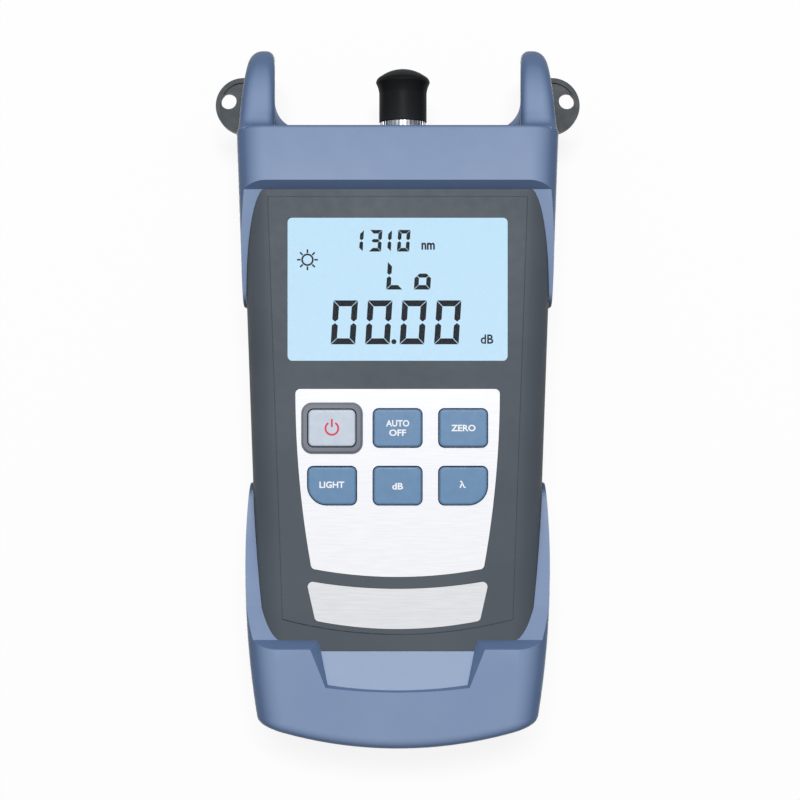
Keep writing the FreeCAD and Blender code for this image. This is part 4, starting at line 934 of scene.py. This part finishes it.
ROWS = (
    Row((Mark.ONE, Mark.THREE, Mark.ONE, Mark.ZERO), (-9.7, 13.1), 3.78, (3.3, 5.8), 0.98, 0.06),
    Row((Mark.BIG_L,), (-0.65, 3.75), 0.0, (4.4, 7.5), 1.2, 0.08),
    Row((Mark.SMALL_O,), (6.8, 3.75), 0.0, (4.4, 7.5), 1.2, 0.08),
    Row((Mark.ZERO,) * 4, (-14.3, -8.8), 9.25, (6.6, 11.8), 1.6, 0.09),
)
UNITS = {"lcd_unit_nm": Lettering("nm", (8.2, 11.65), 3.6, 1.9, 0.035),
         "lcd_unit_db": Lettering("dB", (24.0, -13.3), 3.4, 2.5, 0.02)}


@dataclass
class Display:
    """The window, the lit cell behind it and the characters it shows."""

    window: ClearWindow = ClearWindow("clear_acrylic_window", "F4F9FF")
    ink: Ink = Ink("switched_lcd_navy", "071724", "05121D", 0.6, shine=0.05)
    surround: MouldedPlastic = MouldedPlastic("black_window_gasket", "3A3F45", "34393E", 0.5)
    mark_mm: float = 0.06
    lift_mm: float = 0.02
    dot_at: Point = (-1.0, -14.0)
    dot_radii: Span = (0.0001, 0.68)
    sun_at: Point = (-24.2, 8.0)
    sun_radii: Span = (1.2, 1.66)
    rays: int = 8
    ray_reach: Span = (1.8, 2.8)
    ray_half: float = 0.22

    def build(self) -> None:
        """Dresses the display's nodes and draws its characters on the cell."""
        cell = extent("lcd_panel")
        glow = LitGlass("backlit_lcd_glass", "D6EEF5", "D8EFF6", "7B909F", strength=0.75,
                        low_mm=cell.low.y, high_mm=cell.high.y)
        dress(["display_window"], self.window.build())
        dress(["lcd_panel"], glow.build())
        dress(["display_frame"], self.surround.build())
        middle = extent("display_window").middle
        low = cell.high.z + self.lift_mm
        shape = bmesh.new()
        for row in ROWS:
            for count, mark in enumerate(row.marks):
                at = (middle.x + row.first[0] + row.pitch * count, middle.y + row.first[1])
                Digit(mark, at, *row.size, row.bar, row.gap).build(shape, low, self.mark_mm)
        annulus(shape, (middle.x + self.dot_at[0], middle.y + self.dot_at[1]), self.dot_radii, low,
                self.mark_mm)
        self.add_sun(shape, (middle.x + self.sun_at[0], middle.y + self.sun_at[1]), low)
        navy = self.ink.build()
        finish_piece("lcd_digits", shape, navy, "case", FLAT_SMOOTH)
        for name, unit in UNITS.items():
            letters = unit.build(name, middle, low, self.mark_mm)
            finish_piece(name, letters, navy, "case", FLAT_SMOOTH)

    def add_sun(self, shape: bmesh.types.BMesh, at: Point, low: float) -> None:
        """Adds the backlight's sun sign.

        Args:
            shape: The characters so far.
            at: The sign's centre.
            low: The height of its underside.
        """
        annulus(shape, at, self.sun_radii, low, self.mark_mm)
        for turn in range(self.rays):
            angle = math.radians(FULL_TURN / self.rays * turn)
            along = Vector((math.cos(angle), math.sin(angle)))
            aside = Vector((-along.y, along.x)) * self.ray_half
            start, end = (Vector(at) + along * reach for reach in self.ray_reach)
            corners = (start - aside, end - aside, end + aside, start + aside)
            slab(shape, [tuple(corner) for corner in corners], low, self.mark_mm)


LEGENDS = {
    "auto_off_key": (Lettering("AUTO", (0.0, 1.25), 6.2), Lettering("OFF", (0.0, -1.25), 4.5)),
    "zero_key": (Lettering("ZERO", (0.0, 0.0), 6.5),),
    "light_key": (Lettering("LIGHT", (0.0, 0.3), 6.6),),
    "db_key": (Lettering("dB", (0.0, -0.1), 2.9),),
    "wavelength_key": (Lettering("λ", (-0.2, 0.4), 1.7, 1.9),),
}


@dataclass
class Keypad:
    """The overlay, the six keys with their legends, and the mat under them."""

    foil: PrintedFoil = PrintedFoil("silver_white_polyester_foil", "FAFAFD", "F1F2F7")
    blank: PrintedFoil = PrintedFoil("silver_white_plate_foil", "E8E9EC", "DCDDE1")
    bezel: MouldedPlastic = MouldedPlastic("grey_satin_bezel", "7E838E", "757A85", 0.38, 0.5, 0.006)
    mat: SoftRubber = SoftRubber("black_silicone_mat", "24272B", "1D2023", 0.55, shine=0.1,
                                 dust=0.0)
    white: Ink = Ink("white_key_print", "FFFFFF", "F4F6FA")
    red: Ink = Ink("red_key_print", "DB3552", "D22C49")
    blue_skirt: Span = (-0.8, 0.5)
    pale_skirt: Span = (-1.3, -0.4)
    print_mm: float = 0.05
    sign_at: Point = (0.0, -0.1)
    sign_radii: Span = (1.45, 1.95)
    sign_start: float = 122.0
    sign_sweep: float = 296.0
    bar_half: float = 0.25
    bar_reach: Span = (0.35, 2.5)
    # The keys from left to right, the upper one of each column first.
    columns: tuple[tuple[str, str], ...] = (("power_key", "light_key"), ("auto_off_key", "db_key"),
                                            ("zero_key", "wavelength_key"))
    fence_mm: float = 1.0
    travel_mm: float = 1.0
    spare_mm: float = 0.05

    def build(self) -> None:
        """Dresses the overlay and the keys, prints their legends and makes the mat."""
        dress(["keypad_panel"], self.foil.build())
        dress(["name_plate"], self.blank.build())
        dress(["power_key_bezel"], self.bezel.build())
        panel, top = extent("keypad_panel").high.z, extent("auto_off_key").high.z
        blue = SiliconeKey("satin_blue_silicone", "5D86AE", "567FA7", "1D2A38",
                           *(panel + place for place in self.blue_skirt))
        pale = SiliconeKey("satin_pale_silicone", "C6D0DE", "BDC8D8", "5D6570",
                           *(top + place for place in self.pale_skirt))
        dress(LEGENDS, blue.build())
        dress(["power_key"], pale.build())
        white = self.white.build()
        for key, lines in LEGENDS.items():
            self.print_legend(key, lines, white)
        self.print_power_sign(self.red.build())
        self.divide_mat(self.mat.build())

    def divide_mat(self, rubber: bpy.types.Material) -> None:
        """Divides the mat into a soft piece under each key.

        Args:
            rubber: The mat's finish.
        """
        whole = extent("keypad_mat")
        places = {key: extent(key).middle for pair in self.columns for key in pair}
        rows = [sum(places[pair[row]].y for pair in self.columns) / len(self.columns)
                for row in (0, 1)]
        columns = [sum(places[key].x for key in pair) / len(pair) for pair in self.columns]
        fences = [whole.low.x - self.fence_mm,
                  *((left + right) / 2 for left, right in zip(columns, columns[1:])),
                  whole.high.x + self.fence_mm]
        for left, right, pair in zip(fences, fences[1:], self.columns):
            for key, outward in zip(pair, (-1.0, 1.0)):
                shape = bmesh.new()
                shape.from_mesh(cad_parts["keypad_mat"].data)
                bmesh.ops.scale(shape, vec=(1.0 / METRE,) * 3, verts=shape.verts)
                trim(shape, Vector((left, 0.0, 0.0)), Vector((-1.0, 0.0, 0.0)))
                trim(shape, Vector((right, 0.0, 0.0)), Vector((1.0, 0.0, 0.0)))
                trim(shape, Vector((0.0, sum(rows) / 2, 0.0)), Vector((0.0, outward, 0.0)))
                piece = finish_piece(f"mat_under_{key}", shape, rubber, "case")
                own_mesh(piece)
                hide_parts("keypad_mat")

    def print_legend(self, node: str, lines: Sequence[Lettering], ink: bpy.types.Material) -> None:
        """Prints a key's words on its top.

        Args:
            node: The key.
            lines: Its words, line by line.
            ink: Their finish.
        """
        key = extent(node)
        shape = bmesh.new()
        for count, line in enumerate(lines):
            name = f"{node}_line_{count}"
            letters = line.build(name, key.middle, key.high.z - self.print_mm / 2, self.print_mm)
            mesh = bpy.data.meshes.new(name)
            letters.to_mesh(mesh)
            letters.free()
            shape.from_mesh(mesh)
            bpy.data.meshes.remove(mesh)
        finish_piece(f"{node}_legend", shape, ink, f"{node}_body", FLAT_SMOOTH)

    def print_power_sign(self, ink: bpy.types.Material) -> None:
        """Prints the open ring and bar on the power key.

        Args:
            ink: Its finish.
        """
        key = extent("power_key")
        at = (key.middle.x + self.sign_at[0], key.middle.y + self.sign_at[1])
        low = key.high.z - self.print_mm / 2
        shape = bmesh.new()
        annulus(shape, at, self.sign_radii, low, self.print_mm, self.sign_start, self.sign_sweep)
        foot, head = self.bar_reach
        bar = ((-self.bar_half, foot), (self.bar_half, foot), (self.bar_half, head),
               (-self.bar_half, head))
        slab(shape, [(at[0] + x, at[1] + y) for x, y in bar], low, self.print_mm)
        finish_piece("power_key_legend", shape, ink, "power_key_body", FLAT_SMOOTH)


@dataclass
class FibrePort:
    """The connector end: detector, threaded adapter, knurled ring and rubber cap."""

    nickel: Metal = Metal("nickel_plated_turned_brass", "D6D8DC", "A9ADB4", 0.22, line_mm=0.3,
                          turned=True)
    knurl: Metal = Metal("knurled_nickel_plated_brass", "BFC2C8", "84888F", 0.42, Axis.X, 0.6,
                         0.004)
    steel: Metal = Metal("turned_stainless_steel", "C4C7CC", "989CA3", 0.26, line_mm=0.3,
                         turned=True)
    # The cap's paler edges are a painted highlight.
    rubber: SoftRubber = SoftRubber("black_rubber_cap", "191A1C", "141516", 0.5, 0.35, 0.008,
                                    edge="303133", shine=0.06, dust=0.0)
    ceramic: MouldedPlastic = MouldedPlastic("white_zirconia_ceramic", "EFEEEA", "E6E4DE", 0.18,
                                             0.8, 0.001)

    def build(self) -> None:
        """Dresses the port."""
        dress(["port_nut", "fc_adapter"], self.nickel.build())
        dress(["adapter_ring"], self.knurl.build())
        dress(["detector_tube"], self.steel.build())
        dress(["dust_cap"], self.rubber.build())
        dress(["ferrule_sleeve"], self.ceramic.build())


@dataclass
class Inside:
    """What the case holds: boards, cells, springs and the detector."""

    board: MouldedPlastic = MouldedPlastic("green_solder_mask", "1E5A3A", "194D32", 0.3, 1.4, 0.004)
    chip: MouldedPlastic = MouldedPlastic("black_epoxy_chip", "202226", "1A1C1F", 0.45, 0.3, 0.006)
    diffuser: MouldedPlastic = MouldedPlastic("white_light_guide", "EEF4F8", "E4ECF2", 0.35, 0.9,
                                              0.004)
    contact: MouldedPlastic = MouldedPlastic("striped_contact_rubber", "C9B7C4", "BEABB9", 0.5, 0.3)
    cell: MouldedPlastic = MouldedPlastic("shrink_sleeved_cell", "3F7F4B", "377043", 0.28, 1.2,
                                          0.003)
    spring: Metal = Metal("nickel_plated_spring_wire", "C9CBCF", "9B9FA6", 0.25)
    plate: Metal = Metal("nickel_plated_contact_strip", "CFD1D4", "A3A7AD", 0.22, Axis.X)
    can: Metal = Metal("gold_plated_can", "E3C27A", "C9A65C", 0.2, Axis.Y, 0.3, 0.002, turned=True)

    def build(self) -> None:
        """Dresses every hidden node."""
        dress(["main_board", "detector_board"], self.board.build())
        dress(["board_chips"], self.chip.build())
        dress(["backlight"], self.diffuser.build())
        dress(["contact_strips"], self.contact.build())
        dress([f"battery_cell_{count}" for count in (1, 2, 3)], self.cell.build())
        dress(["battery_springs"], self.spring.build())
        dress(["battery_plates"], self.plate.build())
        dress(["photodiode"], self.can.build())


@dataclass
class BatteryHatch:
    """The door of the battery bay."""

    plastic: MouldedPlastic = MouldedPlastic("grained_grey_abs_door", "545B63", "4E555D")

    def build(self) -> None:
        """Dresses the door."""
        dress(["battery_door"], self.plastic.build())


@dataclass
class Studio:
    """The pale floor, the soft lamp and the camera that looks straight down at the meter."""

    eye_mm: Corner = (0.64, -1.85, 544.0)
    lens_mm: float = 84.0
    sensor_mm: float = 36.0
    nearest_mm: float = 10.0
    floor_mm: float = 6000.0
    floor_dim: str = "787878"
    floor_seen: str = "FFFFFF"
    floor_glow: float = 0.88
    world_glow: float = 0.2
    backdrop_glow: float = 0.75
    lamp_mm: Corner = (0.0, 440.0, 1680.0)
    aim_mm: Corner = (0.0, 0.0, 24.0)
    lamp_wide_mm: float = 500.0
    lamp_long_mm: float = 260.0
    lamp_watts: float = 22.0

    def build(self) -> None:
        """Makes the studio."""
        self.lay_floor()
        self.set_world()
        self.hang_lamp()
        self.set_camera()

    def lay_floor(self) -> None:
        """Lays the floor: white wherever it is seen or mirrored, but for the meter's shadow."""
        shape = bmesh.new()
        bmesh.ops.create_grid(shape, x_segments=1, y_segments=1, size=self.floor_mm / 2)
        bmesh.ops.scale(shape, vec=(METRE,) * 3, verts=shape.verts)
        mesh = bpy.data.meshes.new("studio_floor")
        shape.to_mesh(mesh)
        shape.free()
        floor = bpy.data.objects.new("studio_floor", mesh)
        bpy.context.scene.collection.objects.link(floor)
        material = bpy.data.materials.new("white_paper_sweep")
        material.use_nodes = True
        tree = material.node_tree
        tree.nodes.clear()
        ray = add(tree, "ShaderNodeLightPath").outputs
        tone = add(tree, "ShaderNodeValToRGB", {0: ray["Is Camera Ray"]},
                   tones(self.floor_dim, self.floor_seen, (0.0, 1.0)))
        paper = add(tree, "ShaderNodeBsdfDiffuse", {"Color": tone})
        glow = add(tree, "ShaderNodeEmission", {"Color": (1, 1, 1, 1), "Strength": 1.0})
        seen = add(tree, "ShaderNodeMath", {0: ray["Is Camera Ray"], 1: ray["Is Glossy Ray"]},
                   operation="MAXIMUM")
        shown = add(tree, "ShaderNodeMath", {0: seen, 1: ray["Is Transmission Ray"]},
                    operation="MAXIMUM")
        share = add(tree, "ShaderNodeMath", {0: shown, 1: self.floor_glow}, operation="MULTIPLY")
        mixed = add(tree, "ShaderNodeMixShader", {0: share, 1: paper, 2: glow})
        add(tree, "ShaderNodeOutputMaterial", {0: mixed})
        mesh.materials.append(material)

    def set_world(self) -> None:
        """Sets the backdrop: white where it is seen, and a plain soft light elsewhere."""
        world = bpy.data.worlds.new("studio_world")
        world.use_nodes = True
        tree = world.node_tree
        tree.nodes.clear()
        ray = add(tree, "ShaderNodeLightPath").outputs
        seen = add(tree, "ShaderNodeMath", {0: ray["Is Camera Ray"], 1: ray["Is Glossy Ray"]},
                   operation="MAXIMUM")
        limits = onto(self.world_glow, self.backdrop_glow, (0.0, 1.0))
        strength = add(tree, "ShaderNodeMapRange", {"Value": seen, **limits})
        backdrop = add(tree, "ShaderNodeBackground", {"Color": (1, 1, 1, 1), "Strength": strength})
        add(tree, "ShaderNodeOutputWorld", {0: backdrop})
        bpy.context.scene.world = world

    def hang_lamp(self) -> None:
        """Hangs one broad soft lamp over the meter, a little towards the far end."""
        lamp = bpy.data.lights.new("key_lamp", "AREA")
        lamp.shape = "RECTANGLE"
        lamp.size = self.lamp_wide_mm * METRE
        lamp.size_y = self.lamp_long_mm * METRE
        lamp.energy = self.lamp_watts
        holder = bpy.data.objects.new("key_lamp", lamp)
        holder.location = Vector(self.lamp_mm) * METRE
        aim = Vector(self.aim_mm) - Vector(self.lamp_mm)
        holder.rotation_euler = aim.to_track_quat("-Z", "Y").to_euler()
        bpy.context.scene.collection.objects.link(holder)

    def set_camera(self) -> None:
        """Places the camera over the meter with +Y up in the picture."""
        camera = bpy.data.cameras.new("camera")
        camera.lens = self.lens_mm
        camera.sensor_width = self.sensor_mm
        camera.clip_start = self.nearest_mm * METRE
        holder = bpy.data.objects.new("camera", camera)
        holder.location = Vector(self.eye_mm) * METRE
        bpy.context.scene.collection.objects.link(holder)
        bpy.context.scene.camera = holder


def main() -> None:
    """Builds the studio and every sub-assembly in order."""
    logging.basicConfig(level=logging.INFO, format="%(message)s")
    bpy.context.scene.view_settings.view_transform = "Standard"
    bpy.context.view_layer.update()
    for part in (Studio(), Case(), Guards(), Display(), Keypad(), FibrePort(), BatteryHatch(),
                 Inside()):
        LOG.info("building %s", type(part).__name__)
        part.build()


if __name__ == "__main__":
    main()
